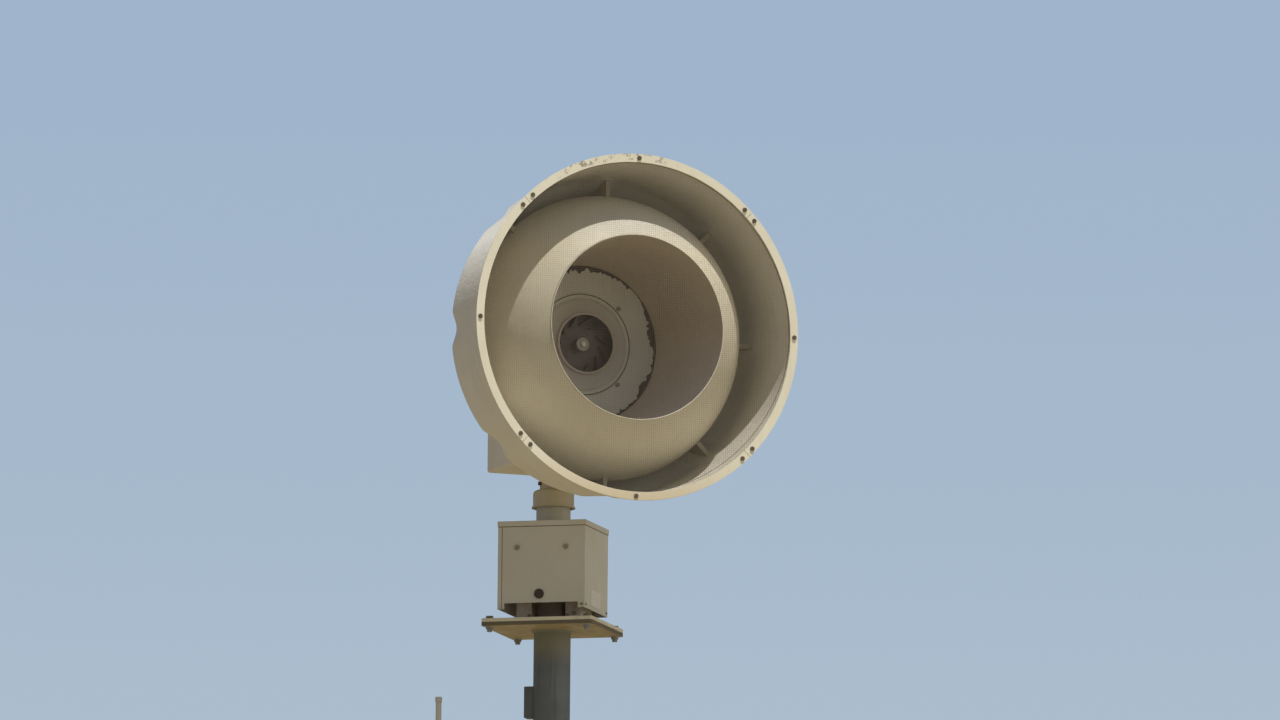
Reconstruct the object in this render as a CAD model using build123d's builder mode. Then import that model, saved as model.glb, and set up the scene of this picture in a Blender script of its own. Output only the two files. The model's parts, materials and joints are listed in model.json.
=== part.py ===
from build123d import *
from math import atan2, cos, degrees, radians, sin, sqrt
import os

# Civil defense siren on a stepped steel pole, millimetres, +Z up.
# The origin is the centre of the base flange's underside. At rest the horn faces -Y.
# The horn and its motor housing turn about the pole's axis, and a rotor spins
# behind the intake duct, about the horn's own axis.

# Heights above the ground
POLE_TOP_Z = 10670.0
POLE_PLATE_T = 12.0
SIREN_PLATE_T = 11.0
HORN_ABOVE_PLATE = 844.0
DECK_Z = POLE_TOP_Z + POLE_PLATE_T + SIREN_PLATE_T
HORN_Z = DECK_Z + HORN_ABOVE_PLATE

# Base flange
FLANGE_SIDE = 520.0
FLANGE_T = 32.0
FLANGE_CORNER_R = 30.0
ANCHOR_CIRCLE = 560.0
ANCHOR_COUNT = 4
ANCHOR_HOLE_R = 17.5
GUSSET_COUNT = 4
GUSSET_REACH = 130.0
GUSSET_HEIGHT = 170.0
GUSSET_T = 12.0
GUSSET_TOE = 18.0

# Stepped pole, three pipe sizes with a cone between each pair
LOWER_R = 219.1 / 2
LOWER_WALL = 8.2
LOWER_LENGTH = 3868.0
MIDDLE_R = 168.3 / 2
MIDDLE_WALL = 7.1
MIDDLE_LENGTH = 3550.0
UPPER_R = 114.3 / 2
UPPER_WALL = 6.0
LOWER_CONE = 150.0
UPPER_CONE = 140.0

# Hand hole in the lower pipe, facing +Y
HANDHOLE_Z = 640.0
HANDHOLE_WIDTH = 90.0
HANDHOLE_HEIGHT = 170.0
HANDHOLE_LAP = 24.0
HANDHOLE_COVER_T = 4.0
HANDHOLE_SCREW_R = 6.0
HANDHOLE_SCREW_T = 4.0
SEAT_GAP = 0.3

# Square plates at the pole's top, turned with the drive box
DECK_TURN = -38.95
PLATE_SIDE = 355.0
PLATE_CORNER_R = 6.0
PLATE_BOLT_EDGE = 21.5
PLATE_BOLT_R = 8.0
PLATE_BOLT_HEAD_R = 12.0
PLATE_BOLT_HEAD_T = 9.0
PLATE_BOLT_STUB = 8.0

# Riser pipe and the shaft that turns inside it, with drops measured down from the horn's axis
RISER_R = 53.0
RISER_WALL = 6.0
RISER_TOP_DROP = 480.0
FOOT_R = 62.0
FOOT_T = 8.0
SHAFT_R = 38.0
SHAFT_WALL = 8.0
BEARING_CLEARANCE = 0.1
SHOULDER_R = 45.0
SHAFT_FOOT_DROP = 640.0
BEARING_T = 20.0

# Drive box cover
BOX_WIDTH = 283.0
BOX_DEPTH = 262.0
BOX_TOP_DROP = 538.0
BOX_BOTTOM_DROP = 811.0
BOX_SHEET = 2.5
LID_LIP = 16.0
LID_SHEET = 2.0
NOTCH_WIDTH = 236.0
NOTCH_HEIGHT = 18.0
BOX_BOLT_SPAN = 156.0
BOX_BOLT_DROP = 83.0
BOX_BOLT_R = 4.0
BOX_BOLT_HEAD_R = 8.5
BOX_BOLT_HEAD_T = 6.0
PLUG_R = 15.0
PLUG_T = 5.0
PLUG_NECK = 1.5
PLUG_X = -6.0
PLUG_RISE = 45.0
FRAME_BAR_T = 6.0
FRAME_BAR_WIDTH = 190.0
FRAME_FLANGE = 36.0
LABEL_WIDTH = 105.0
LABEL_HEIGHT = 51.0
LABEL_T = 1.5
LABEL_BACK = -9.0
LABEL_RISE = 38.0
HEM_WIDTH = 13.0
HEM_T = 1.4
CORNER_SCREW_R = 4.0
CORNER_SCREW_T = 3.0
CORNER_SCREW_EDGE = 11.0

# Angle brackets on the base plate, either side of the riser
BRACKET_INNER_X = 54.0
BRACKET_WIDTH = 49.0
BRACKET_RUN = 122.0
BRACKET_HEIGHT = 62.0
BRACKET_FRONT = 44.0
BRACKET_SHEET = 4.0
BRACKET_BOLT_R = 6.5
BRACKET_BOLT_T = 5.0

# Collar and neck above the riser
COLLAR_R = 63.5
COLLAR_GAP = 5.3
COLLAR_LIP_R = 68.0
COLLAR_LIP_T = 10.0
COLLAR_BOTTOM_DROP = 485.0
COLLAR_TOP_DROP = 429.0
COLLAR_TOP_T = 6.0
COLLAR_SHOULDER_R = 12.5
COLLAR_LIP_SLOPE = 4.0
NECK_R = 43.0
NECK_BOLT_DROP = 409.0
NECK_BOLT_R = 6.5
NECK_BOLT_REACH = 8.0

# Motor housing behind the horn
HOUSING_HALF_WIDTH = 139.0
HOUSING_FLOOR_DROP = 357.0
HOUSING_ROOF_RISE = 200.0
HOUSING_BACK_Y = 200.0
HOUSING_SHEET = 3.0
HOUSING_BEND_R = 8.0
HOUSING_LUG = 14.0
HOUSING_SCREW_R = 5.0
HOUSING_PORT_R = 60.0

# Horn, with depths measured back from the front of the rim
RIM_REACH = 651.0
RIM_T = 4.0
RIM_OUTER_R = 536.0
RIM_INNER_R = 510.0
RIM_GAP = 1.2
SCREEN_GAP = 0.6
MOUTH_FLANGE_T = 7.0
MOUTH_FLANGE_R = 535.0
MOUTH_COVE_R = 5.0
SHELL_FRONT_R = 515.0
SHELL_WAIST_R = 497.3
SHELL_WAIST_D = 280.0
SHELL_WALL = 6.0
CORNER_RADIUS = 90.0
BACK_RADIUS = 327.0
CORNER_TURN = 30.0
FLUTE_COUNT = 8
FLUTE_RADIUS = 80.0
FLUTE_DROP = 45.0
FLUTE_SWELL = 24.0
FLUTE_SHOULDER_R = 10.0
SCREW_PAIR_ANGLE = 2.5
SCREW_CIRCLE_R = 523.0
SCREW_R = 3.0
SCREW_HEAD_R = 7.0
SCREW_HEAD_T = 3.5
SCREW_TAIL = 3.0

# Inner fairing and intake duct
DUCT_FRONT_R = 284.0
DUCT_BACK_R = 245.0
DUCT_WALL = 4.0
DUCT_FRONT_D = 3.0
FAIRING_CREST_D = 325.7
FAIRING_CREST_INSET = 53.5
FAIRING_TUCK = 0.7
FAIRING_WALL = 6.0
CREST_ROUND = 70.0
THROAT = 40.0
VANE_T = 14.0
VANE_FRONT_D = 244.0
VANE_BACK_GAP = 7.0

# Back plate, inlet and stator
PLATE_T = 5.0
CONE_FOOT_R = 150.0
CONE_TOP_R = 93.0
CONE_RISE = 26.0
CONE_SKIN = 2.0
BEAD_R = 156.0
BEAD_HALF = 2.5
INLET_TUBE_R = 4.5
STATOR_R = 252.0
STATOR_WALL = 12.0
STATOR_DEPTH = 39.2
STATOR_BACK_T = 8.0
STATOR_RIM_R = 275.0
PORT_WIDTH = 118.0
PORT_MARGIN = 4.0
PLATE_BOLT_CIRCLE_R = 167.0
DISC_BOLT_HEAD_R = 7.5
DISC_BOLT_HEAD_T = 6.0

# Rotor
ROTOR_GAP = 6.0
ROTOR_DISC_T = 5.0
BLADE_COUNT = 12
BLADE_T = 4.0
BLADE_INNER_R = 64.0
BLADE_SWEEP = 38.0
BLADE_BOW = 9.0
SHROUD_INNER_R = 112.0
SHROUD_T = 3.0
HUB_R = 21.0
HUB_PROUD = 5.0
ROTOR_SHAFT_R = 16.0
ROTOR_SHAFT_TAIL = 60.0
HUB_NUT_R = 9.0
HUB_NUT_T = 8.0

# Radio antenna on a side arm, and the small box above it
ANTENNA_REACH = 363.0
ANTENNA_TOP_DROP = 1062.0
ANTENNA_R = 9.0
ANTENNA_CAP_R = 10.5
ANTENNA_CAP_H = 16.0
ANTENNA_BASE_R = 16.0
ANTENNA_BASE_H = 130.0
ARM_TUBE = 40.0
ARM_WALL = 4.0
ARM_BELOW_TIP = 1090.0
SADDLE_HEIGHT = 160.0
SADDLE_T = 8.0
BAND_HEIGHT = 25.0
BAND_T = 4.0
SIDE_BOX_TOP_DROP = 1039.0
SIDE_BOX_HEIGHT = 97.0
SIDE_BOX_WIDTH = 46.0
SIDE_BOX_PROUD = 26.0
SIDE_BOX_CORNER_R = 4.0

# Axes and planes that several pieces share
HORN_AXIS = Axis((0, 0, HORN_Z), (0, 1, 0))
POLE_AXIS = Axis.Z


def level(height):
    """Level plane at a height, in line with the base flange."""
    return Plane.XY.offset(height)


def deck_level(height):
    """Level plane at a height, turned with the plates and the drive box."""
    return Plane(origin=(0, 0, height)).rotated((0, 0, DECK_TURN))


def radial_plane(angle):
    """Plane through the horn's axis: local X runs back from the rim, local Y out from the axis."""
    turn = radians(angle)
    return Plane(origin=(0, -RIM_REACH, HORN_Z), x_dir=(0, 1, 0), z_dir=(cos(turn), 0, sin(turn)))


def face_plane(depth):
    """Plane across the horn at a depth behind the rim, with its normal pointing to the rear."""
    return Plane(origin=(0, depth - RIM_REACH, HORN_Z), x_dir=(-1, 0, 0), z_dir=(0, 1, 0))


def arc_point(centre, radius, angle):
    """Point of an arc, with the angle from straight out towards the rear."""
    return (centre[0] + radius * sin(radians(angle)), centre[1] + radius * cos(radians(angle)))


# Outline of the horn's shell: a slightly tapered side, a round corner, a wide round back
FLANGE_FRONT_D = RIM_T + SCREEN_GAP
FLANGE_BACK_D = FLANGE_FRONT_D + MOUTH_FLANGE_T
TAPER = degrees(atan2(SHELL_FRONT_R - SHELL_WAIST_R, SHELL_WAIST_D - FLANGE_BACK_D))
CORNER_CENTRE = arc_point((SHELL_WAIST_D, SHELL_WAIST_R), -CORNER_RADIUS, TAPER)
CORNER_END = arc_point(CORNER_CENTRE, CORNER_RADIUS, CORNER_TURN)
BACK_CENTRE = arc_point(CORNER_END, -BACK_RADIUS, CORNER_TURN)
FLUTE_CENTRE = (BACK_CENTRE[0], BACK_CENTRE[1] - FLUTE_DROP)

# Outline of the fairing: its front arc is level at the crest and meets the duct's front edge
FAIRING_CREST_R = SHELL_WAIST_R - FAIRING_CREST_INSET
FAIRING_RUN = FAIRING_CREST_D - DUCT_FRONT_D
FAIRING_RISE = FAIRING_CREST_R - DUCT_FRONT_R + FAIRING_TUCK
FAIRING_RADIUS = (FAIRING_RUN**2 + FAIRING_RISE**2) / (2 * FAIRING_RISE)
FAIRING_CENTRE = (FAIRING_CREST_D, FAIRING_CREST_R - FAIRING_RADIUS)
FAIRING_BACK_RADIUS = BACK_RADIUS - SHELL_WALL - THROAT
FAIRING_REAR = 90.0
NOSE_SPREAD = 1.6

# Depths of the stator and the back plate, from where the shell's back comes down to the stator
SHELL_TAIL_R = STATOR_R + SEAT_GAP
SHELL_TAIL_D = BACK_CENTRE[0] + sqrt(BACK_RADIUS**2 - (SHELL_TAIL_R - BACK_CENTRE[1]) ** 2)
STATOR_BACK_D = SHELL_TAIL_D + SEAT_GAP
STATOR_FRONT_D = STATOR_BACK_D - STATOR_DEPTH
PLATE_D = STATOR_FRONT_D - PLATE_T
CONE_TOP_D = PLATE_D - CONE_RISE
HUB_FRONT_D = PLATE_D - HUB_PROUD
VANE_BACK_D = PLATE_D - VANE_BACK_GAP


def shell_region(inset, front):
    """Closed half section under the shell's outline, set in by a wall."""
    slope = sin(radians(TAPER)) / cos(radians(TAPER))
    side_start = (front, SHELL_WAIST_R + (SHELL_WAIST_D - front) * slope)
    corner = CORNER_RADIUS - inset
    back = BACK_RADIUS - inset
    slope_in = inset / cos(radians(TAPER))
    waist = arc_point(CORNER_CENTRE, corner, TAPER)
    bend = arc_point(CORNER_CENTRE, corner, CORNER_TURN)
    tail = arc_point(BACK_CENTRE, back, 90)
    with BuildSketch() as region:
        with BuildLine():
            Line((front, 0), (front, side_start[1] - slope_in))
            Line((front, side_start[1] - slope_in), waist)
            ThreePointArc(waist, arc_point(CORNER_CENTRE, corner, (TAPER + CORNER_TURN) / 2), bend)
            ThreePointArc(bend, arc_point(BACK_CENTRE, back, (CORNER_TURN + 90) / 2), tail)
            Line(tail, (tail[0], 0))
            Line((tail[0], 0), (front, 0))
        make_face()
    return region.sketch


def crossing(centre_a, radius_a, centre_b, radius_b):
    """Outer crossing point of two circles in the half section."""
    across = centre_b[0] - centre_a[0]
    rise = centre_b[1] - centre_a[1]
    span = sqrt(across**2 + rise**2)
    along = (radius_a**2 - radius_b**2 + span**2) / (2 * span)
    aside = sqrt(radius_a**2 - along**2)
    middle = (centre_a[0] + along * across / span, centre_a[1] + along * rise / span)
    return (middle[0] - aside * rise / span, middle[1] + aside * across / span)


def fairing_region(inset):
    """Closed half section under the fairing's outline, set in by a wall."""
    front_radius = FAIRING_RADIUS - inset
    back_radius = FAIRING_BACK_RADIUS - inset
    nose_angle = -degrees(atan2(FAIRING_CREST_D, FAIRING_RADIUS)) * NOSE_SPREAD
    nose = arc_point(FAIRING_CENTRE, front_radius, nose_angle)
    crest = crossing(BACK_CENTRE, back_radius, FAIRING_CENTRE, front_radius)
    crest_front = degrees(atan2(crest[0] - FAIRING_CENTRE[0], crest[1] - FAIRING_CENTRE[1]))
    crest_back = degrees(atan2(crest[0] - BACK_CENTRE[0], crest[1] - BACK_CENTRE[1]))
    tail = arc_point(BACK_CENTRE, back_radius, FAIRING_REAR)
    front_middle = arc_point(FAIRING_CENTRE, front_radius, (nose_angle + crest_front) / 2)
    back_middle = arc_point(BACK_CENTRE, back_radius, (crest_back + FAIRING_REAR) / 2)
    with BuildSketch() as region:
        with BuildLine():
            Line((nose[0], 0), nose)
            ThreePointArc(nose, front_middle, crest)
            ThreePointArc(crest, back_middle, tail)
            Line(tail, (tail[0], 0))
            Line((tail[0], 0), (nose[0], 0))
        make_face()
        fillet(region.vertices().sort_by(Axis.Y)[-1], radius=CREST_ROUND - inset)
    return region.sketch


def flute_plane(angle):
    """Section plane of one flute's cutter, at the front end of its path."""
    turn = radians(angle)
    outward = (-sin(turn), 0, cos(turn))
    centre = radial_plane(angle).from_local_coords((FLUTE_CENTRE[0], FLUTE_CENTRE[1], 0))
    return Plane(origin=centre, x_dir=outward, z_dir=(0, -1, 0))


def flute_axis(angle):
    """Axis that one flute's cutter is turned about, square to the radial plane."""
    turn = radians(angle)
    centre = radial_plane(angle).from_local_coords((FLUTE_CENTRE[0], FLUTE_CENTRE[1], 0))
    return Axis(centre, (-cos(turn), 0, -sin(turn)))


def tube_ring(outer, inner):
    """Ring sketch between two radii."""
    with BuildSketch() as ring:
        Circle(outer)
        Circle(inner, mode=Mode.SUBTRACT)
    return ring.sketch


FLUTE_PATH_R = BACK_RADIUS + FLUTE_SWELL + FLUTE_RADIUS
FLUTE_ARC = 80.0
FLUTE_STEP = 360.0 / FLUTE_COUNT

# Base flange with its anchor holes
with BuildPart() as base_flange:
    with BuildSketch(level(0)):
        RectangleRounded(FLANGE_SIDE, FLANGE_SIDE, FLANGE_CORNER_R)
        with PolarLocations(ANCHOR_CIRCLE / 2, ANCHOR_COUNT, start_angle=180 / ANCHOR_COUNT):
            Circle(ANCHOR_HOLE_R, mode=Mode.SUBTRACT)
    extrude(amount=FLANGE_T)

# Gussets between the flange and the lower pipe
with BuildPart() as base_gussets:
    for step in range(GUSSET_COUNT):
        with BuildSketch(Plane.XZ.rotated((0, 0, 360 / GUSSET_COUNT * step))):
            with BuildLine():
                Polyline(
                    (LOWER_R + SEAT_GAP, FLANGE_T),
                    (LOWER_R + GUSSET_REACH, FLANGE_T),
                    (LOWER_R + GUSSET_REACH, FLANGE_T + GUSSET_TOE),
                    (LOWER_R + GUSSET_TOE, FLANGE_T + GUSSET_HEIGHT),
                    (LOWER_R + SEAT_GAP, FLANGE_T + GUSSET_HEIGHT),
                    close=True,
                )
            make_face()
        extrude(amount=GUSSET_T / 2, both=True)

# Stepped pole
LOWER_TOP_Z = FLANGE_T + LOWER_LENGTH
MIDDLE_FOOT_Z = LOWER_TOP_Z + LOWER_CONE
MIDDLE_TOP_Z = MIDDLE_FOOT_Z + MIDDLE_LENGTH
UPPER_FOOT_Z = MIDDLE_TOP_Z + UPPER_CONE

with BuildPart() as pole_lower:
    with BuildSketch(level(FLANGE_T)):
        add(tube_ring(LOWER_R, LOWER_R - LOWER_WALL))
    extrude(amount=LOWER_LENGTH)
    with BuildSketch(Plane(origin=(0, 0, HANDHOLE_Z), x_dir=(-1, 0, 0), z_dir=(0, 1, 0))):
        SlotOverall(HANDHOLE_HEIGHT, HANDHOLE_WIDTH, rotation=90)
    extrude(amount=LOWER_R + LOWER_WALL, mode=Mode.SUBTRACT)


def pole_cone(foot_z, height, foot_r, top_r, wall):
    """Cone between two pipes, as a half section."""
    with BuildSketch() as section:
        with BuildLine():
            Polyline(
                (foot_r - wall, foot_z),
                (foot_r, foot_z),
                (top_r, foot_z + height),
                (top_r - wall, foot_z + height),
                close=True,
            )
        make_face()
    return section.sketch


with BuildPart() as lower_reducer:
    with BuildSketch(Plane.XZ):
        add(pole_cone(LOWER_TOP_Z, LOWER_CONE, LOWER_R, MIDDLE_R, MIDDLE_WALL))
    revolve(axis=POLE_AXIS)

with BuildPart() as pole_middle:
    with BuildSketch(level(MIDDLE_FOOT_Z)):
        add(tube_ring(MIDDLE_R, MIDDLE_R - MIDDLE_WALL))
    extrude(amount=MIDDLE_LENGTH)

with BuildPart() as upper_reducer:
    with BuildSketch(Plane.XZ):
        add(pole_cone(MIDDLE_TOP_Z, UPPER_CONE, MIDDLE_R, UPPER_R, UPPER_WALL))
    revolve(axis=POLE_AXIS)

with BuildPart() as pole_upper:
    with BuildSketch(level(UPPER_FOOT_Z)):
        add(tube_ring(UPPER_R, UPPER_R - UPPER_WALL))
    extrude(amount=POLE_TOP_Z - UPPER_FOOT_Z)

# Curved cover over the hand hole, with a screw at its head and foot
with BuildPart() as pole_lower_bore:
    with BuildSketch(level(HANDHOLE_Z)):
        Circle(LOWER_R + SEAT_GAP)
    extrude(amount=HANDHOLE_HEIGHT, both=True)

with BuildPart() as handhole_cover:
    with BuildSketch(level(HANDHOLE_Z)):
        add(tube_ring(LOWER_R + SEAT_GAP + HANDHOLE_COVER_T, LOWER_R + SEAT_GAP))
    extrude(amount=HANDHOLE_HEIGHT / 2 + HANDHOLE_LAP, both=True)
    with BuildSketch(Plane(origin=(0, 0, HANDHOLE_Z), x_dir=(-1, 0, 0), z_dir=(0, 1, 0))):
        SlotOverall(HANDHOLE_HEIGHT + 2 * HANDHOLE_LAP, HANDHOLE_WIDTH + 2 * HANDHOLE_LAP, rotation=90)
    extrude(amount=LOWER_R + 2 * HANDHOLE_LAP, mode=Mode.INTERSECT)
    with BuildSketch(Plane(origin=(0, LOWER_R, HANDHOLE_Z), x_dir=(-1, 0, 0), z_dir=(0, 1, 0))):
        with GridLocations(1, HANDHOLE_HEIGHT + HANDHOLE_LAP, 1, 2):
            Circle(HANDHOLE_SCREW_R)
    extrude(amount=HANDHOLE_COVER_T + HANDHOLE_SCREW_T)
    add(pole_lower_bore.part, mode=Mode.SUBTRACT)

# Small box strapped to the upper pipe
with BuildPart() as pole_side_box:
    side_box_z = HORN_Z - SIDE_BOX_TOP_DROP - SIDE_BOX_HEIGHT
    with BuildSketch(deck_level(side_box_z)):
        with Locations((-(UPPER_R + SIDE_BOX_PROUD) / 2, 0)):
            Rectangle(UPPER_R + SIDE_BOX_PROUD, SIDE_BOX_WIDTH)
        Circle(UPPER_R + SEAT_GAP, mode=Mode.SUBTRACT)
    extrude(amount=SIDE_BOX_HEIGHT)
    upright_edges = pole_side_box.edges().filter_by(Axis.Z)
    fillet(upright_edges.sort_by_distance((0, 0, side_box_z))[-2:], radius=SIDE_BOX_CORNER_R)

# Side arm: a saddle and a band round the pole, and a square tube out to the antenna
ARM_Z = HORN_Z - ANTENNA_TOP_DROP - ARM_BELOW_TIP
ARM_END = ANTENNA_REACH + ARM_TUBE / 2

with BuildPart() as antenna_arm:
    with BuildSketch(deck_level(ARM_Z - SADDLE_HEIGHT / 2)):
        with Locations((-(UPPER_R + SADDLE_T) / 2, 0)):
            Rectangle(UPPER_R + SADDLE_T, 2 * UPPER_R)
        Circle(UPPER_R + SEAT_GAP, mode=Mode.SUBTRACT)
        with Locations((UPPER_R, 0)):
            Rectangle(3 * UPPER_R, 2 * UPPER_R + SADDLE_T, mode=Mode.SUBTRACT)
    extrude(amount=SADDLE_HEIGHT)
    arm_start = UPPER_R + SADDLE_T
    with BuildSketch(deck_level(ARM_Z - ARM_TUBE / 2)):
        with Locations((-(arm_start + ARM_END) / 2, 0)):
            Rectangle(ARM_END - arm_start, ARM_TUBE)
    extrude(amount=ARM_TUBE)
    with BuildSketch(deck_level(ARM_Z - ARM_TUBE / 2 + ARM_WALL)):
        with Locations((-(arm_start + ARM_WALL + ARM_END) / 2, 0)):
            Rectangle(ARM_END - arm_start - 3 * ARM_WALL, ARM_TUBE - 2 * ARM_WALL)
    extrude(amount=ARM_TUBE - 2 * ARM_WALL, mode=Mode.SUBTRACT)

with BuildPart() as antenna_bands:
    for side in (-1, 1):
        band_z = ARM_Z + side * (SADDLE_HEIGHT / 2 - BAND_HEIGHT)
        with BuildSketch(deck_level(band_z - BAND_HEIGHT / 2)):
            add(tube_ring(UPPER_R + SEAT_GAP + BAND_T, UPPER_R + SEAT_GAP))
            with Locations((-UPPER_R, 0)):
                Rectangle(3 * UPPER_R, 4 * UPPER_R, mode=Mode.SUBTRACT)
        extrude(amount=BAND_HEIGHT)

with BuildPart() as antenna_whip:
    whip_top = HORN_Z - ANTENNA_TOP_DROP
    whip_foot = ARM_Z + ARM_TUBE / 2
    whip_stages = [
        (ANTENNA_BASE_R, whip_foot, whip_foot + ANTENNA_BASE_H),
        (ANTENNA_R, whip_foot + ANTENNA_BASE_H, whip_top - ANTENNA_CAP_H),
        (ANTENNA_CAP_R, whip_top - ANTENNA_CAP_H, whip_top),
    ]
    for stage_r, stage_foot, stage_top in whip_stages:
        with BuildSketch(deck_level(stage_foot)):
            with Locations((-ANTENNA_REACH, 0)):
                Circle(stage_r)
        extrude(amount=stage_top - stage_foot)

# Two square plates bolted together at the corners
PLATE_BOLT_SPAN = PLATE_SIDE - 2 * PLATE_BOLT_EDGE

with BuildPart() as pole_top_plate:
    with BuildSketch(deck_level(POLE_TOP_Z)):
        RectangleRounded(PLATE_SIDE, PLATE_SIDE, PLATE_CORNER_R)
        with GridLocations(PLATE_BOLT_SPAN, PLATE_BOLT_SPAN, 2, 2):
            Circle(PLATE_BOLT_R + SEAT_GAP, mode=Mode.SUBTRACT)
    extrude(amount=POLE_PLATE_T)

with BuildPart() as siren_base_plate:
    with BuildSketch(deck_level(POLE_TOP_Z + POLE_PLATE_T)):
        RectangleRounded(PLATE_SIDE, PLATE_SIDE, PLATE_CORNER_R)
        with GridLocations(PLATE_BOLT_SPAN, PLATE_BOLT_SPAN, 2, 2):
            Circle(PLATE_BOLT_R + SEAT_GAP, mode=Mode.SUBTRACT)
    extrude(amount=SIREN_PLATE_T)

with BuildPart() as plate_bolts:
    with BuildSketch(deck_level(POLE_TOP_Z - PLATE_BOLT_HEAD_T - PLATE_BOLT_STUB)):
        with GridLocations(PLATE_BOLT_SPAN, PLATE_BOLT_SPAN, 2, 2):
            Circle(PLATE_BOLT_R)
    extrude(amount=DECK_Z - POLE_TOP_Z + PLATE_BOLT_HEAD_T + PLATE_BOLT_STUB)
    with BuildSketch(deck_level(DECK_Z)):
        with GridLocations(PLATE_BOLT_SPAN, PLATE_BOLT_SPAN, 2, 2):
            RegularPolygon(PLATE_BOLT_HEAD_R, 6)
    extrude(amount=PLATE_BOLT_HEAD_T)
    with BuildSketch(deck_level(POLE_TOP_Z - PLATE_BOLT_HEAD_T)):
        with GridLocations(PLATE_BOLT_SPAN, PLATE_BOLT_SPAN, 2, 2):
            RegularPolygon(PLATE_BOLT_HEAD_R, 6)
    extrude(amount=PLATE_BOLT_HEAD_T)

# Riser pipe with its foot flange
RISER_TOP_Z = HORN_Z - RISER_TOP_DROP

with BuildPart() as riser_pipe:
    with BuildSketch(level(DECK_Z)):
        add(tube_ring(RISER_R, RISER_R - RISER_WALL))
    extrude(amount=RISER_TOP_Z - DECK_Z)
    with BuildSketch(level(DECK_Z)):
        add(tube_ring(FOOT_R, RISER_R - RISER_WALL))
    extrude(amount=FOOT_T)

with BuildPart() as riser_bearings:
    for bearing_top in (RISER_TOP_Z, HORN_Z - SHAFT_FOOT_DROP + 2 * BEARING_T):
        with BuildSketch(level(bearing_top - BEARING_T)):
            add(tube_ring(RISER_R - RISER_WALL, SHAFT_R + BEARING_CLEARANCE))
        extrude(amount=BEARING_T)

# Drive box: four walls, a lid with a lip, and the frame that it hangs on
BOX_TOP_Z = HORN_Z - BOX_TOP_DROP
BOX_BOTTOM_Z = HORN_Z - BOX_BOTTOM_DROP
WALL_TOP_Z = BOX_TOP_Z - LID_SHEET

with BuildPart() as box_walls:
    with BuildSketch(deck_level(BOX_BOTTOM_Z)):
        Rectangle(BOX_WIDTH - 2 * LID_SHEET, BOX_DEPTH - 2 * LID_SHEET)
        inner_trim = 2 * LID_SHEET + 2 * BOX_SHEET
        Rectangle(BOX_WIDTH - inner_trim, BOX_DEPTH - inner_trim, mode=Mode.SUBTRACT)
    extrude(amount=WALL_TOP_Z - BOX_BOTTOM_Z)
    with BuildSketch(deck_level(BOX_BOTTOM_Z)):
        with Locations((0, -BOX_DEPTH / 2)):
            Rectangle(NOTCH_WIDTH, BOX_DEPTH / 2)
    extrude(amount=NOTCH_HEIGHT, mode=Mode.SUBTRACT)
    hem_x = (HEM_WIDTH - BOX_WIDTH) / 2 + LID_SHEET
    hem_y = (HEM_T + LID_SHEET - BOX_DEPTH) / 2
    with BuildSketch(deck_level(BOX_BOTTOM_Z)):
        with Locations((hem_x, hem_y)):
            Rectangle(HEM_WIDTH, HEM_T)
    extrude(amount=BOX_TOP_Z - LID_LIP - BOX_BOTTOM_Z)

with BuildPart() as box_lid:
    with BuildSketch(deck_level(WALL_TOP_Z)):
        Rectangle(BOX_WIDTH, BOX_DEPTH)
        Circle(RISER_R + SEAT_GAP, mode=Mode.SUBTRACT)
    extrude(amount=LID_SHEET)
    with BuildSketch(deck_level(BOX_TOP_Z - LID_LIP)):
        Rectangle(BOX_WIDTH, BOX_DEPTH)
        Rectangle(BOX_WIDTH - 2 * LID_SHEET, BOX_DEPTH - 2 * LID_SHEET, mode=Mode.SUBTRACT)
    extrude(amount=LID_LIP - LID_SHEET)

# Frame inside the drive box: a bar round the riser with an upturned flange at each end,
# and two angle brackets that stand on the base plate
WALL_FACE_Y = BOX_DEPTH / 2 - LID_SHEET
FRAME_HALF = WALL_FACE_Y - BOX_SHEET
BOX_BOLT_Z = BOX_TOP_Z - BOX_BOLT_DROP
FRAME_Z = BOX_BOLT_Z - FRAME_FLANGE / 2 - FRAME_BAR_T

with BuildPart() as box_frame:
    with BuildSketch(deck_level(FRAME_Z)):
        Rectangle(FRAME_BAR_WIDTH, 2 * FRAME_HALF)
        Circle(RISER_R + SEAT_GAP, mode=Mode.SUBTRACT)
    extrude(amount=FRAME_BAR_T)
    with BuildSketch(deck_level(FRAME_Z + FRAME_BAR_T)):
        Rectangle(FRAME_BAR_WIDTH, 2 * FRAME_HALF)
        Rectangle(FRAME_BAR_WIDTH, 2 * FRAME_HALF - 2 * FRAME_BAR_T, mode=Mode.SUBTRACT)
    extrude(amount=FRAME_FLANGE)
    for side in (-1, 1):
        front_x = side * (BRACKET_INNER_X + BRACKET_WIDTH / 2)
        return_x = side * (BRACKET_INNER_X + BRACKET_WIDTH - BRACKET_SHEET / 2)
        with BuildSketch(deck_level(DECK_Z)):
            with Locations((front_x, BRACKET_SHEET / 2 - BRACKET_FRONT)):
                Rectangle(BRACKET_WIDTH, BRACKET_SHEET)
            with Locations((return_x, BRACKET_RUN / 2 - BRACKET_FRONT)):
                Rectangle(BRACKET_SHEET, BRACKET_RUN)
        extrude(amount=BRACKET_HEIGHT)


def box_front(reach, height):
    """Plane on the drive box's front, facing out, at a reach from the riser's axis."""
    tilt = radians(DECK_TURN)
    outward = (sin(tilt), -cos(tilt), 0)
    origin = (reach * outward[0], reach * outward[1], height)
    return Plane(origin=origin, x_dir=(cos(tilt), sin(tilt), 0), z_dir=outward)


def box_side(reach, height):
    """Plane on the drive box's right side, facing out, at a reach from the riser's axis."""
    tilt = radians(DECK_TURN)
    outward = (cos(tilt), sin(tilt), 0)
    origin = (reach * outward[0], reach * outward[1], height)
    return Plane(origin=origin, x_dir=(-sin(tilt), cos(tilt), 0), z_dir=outward)


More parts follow.
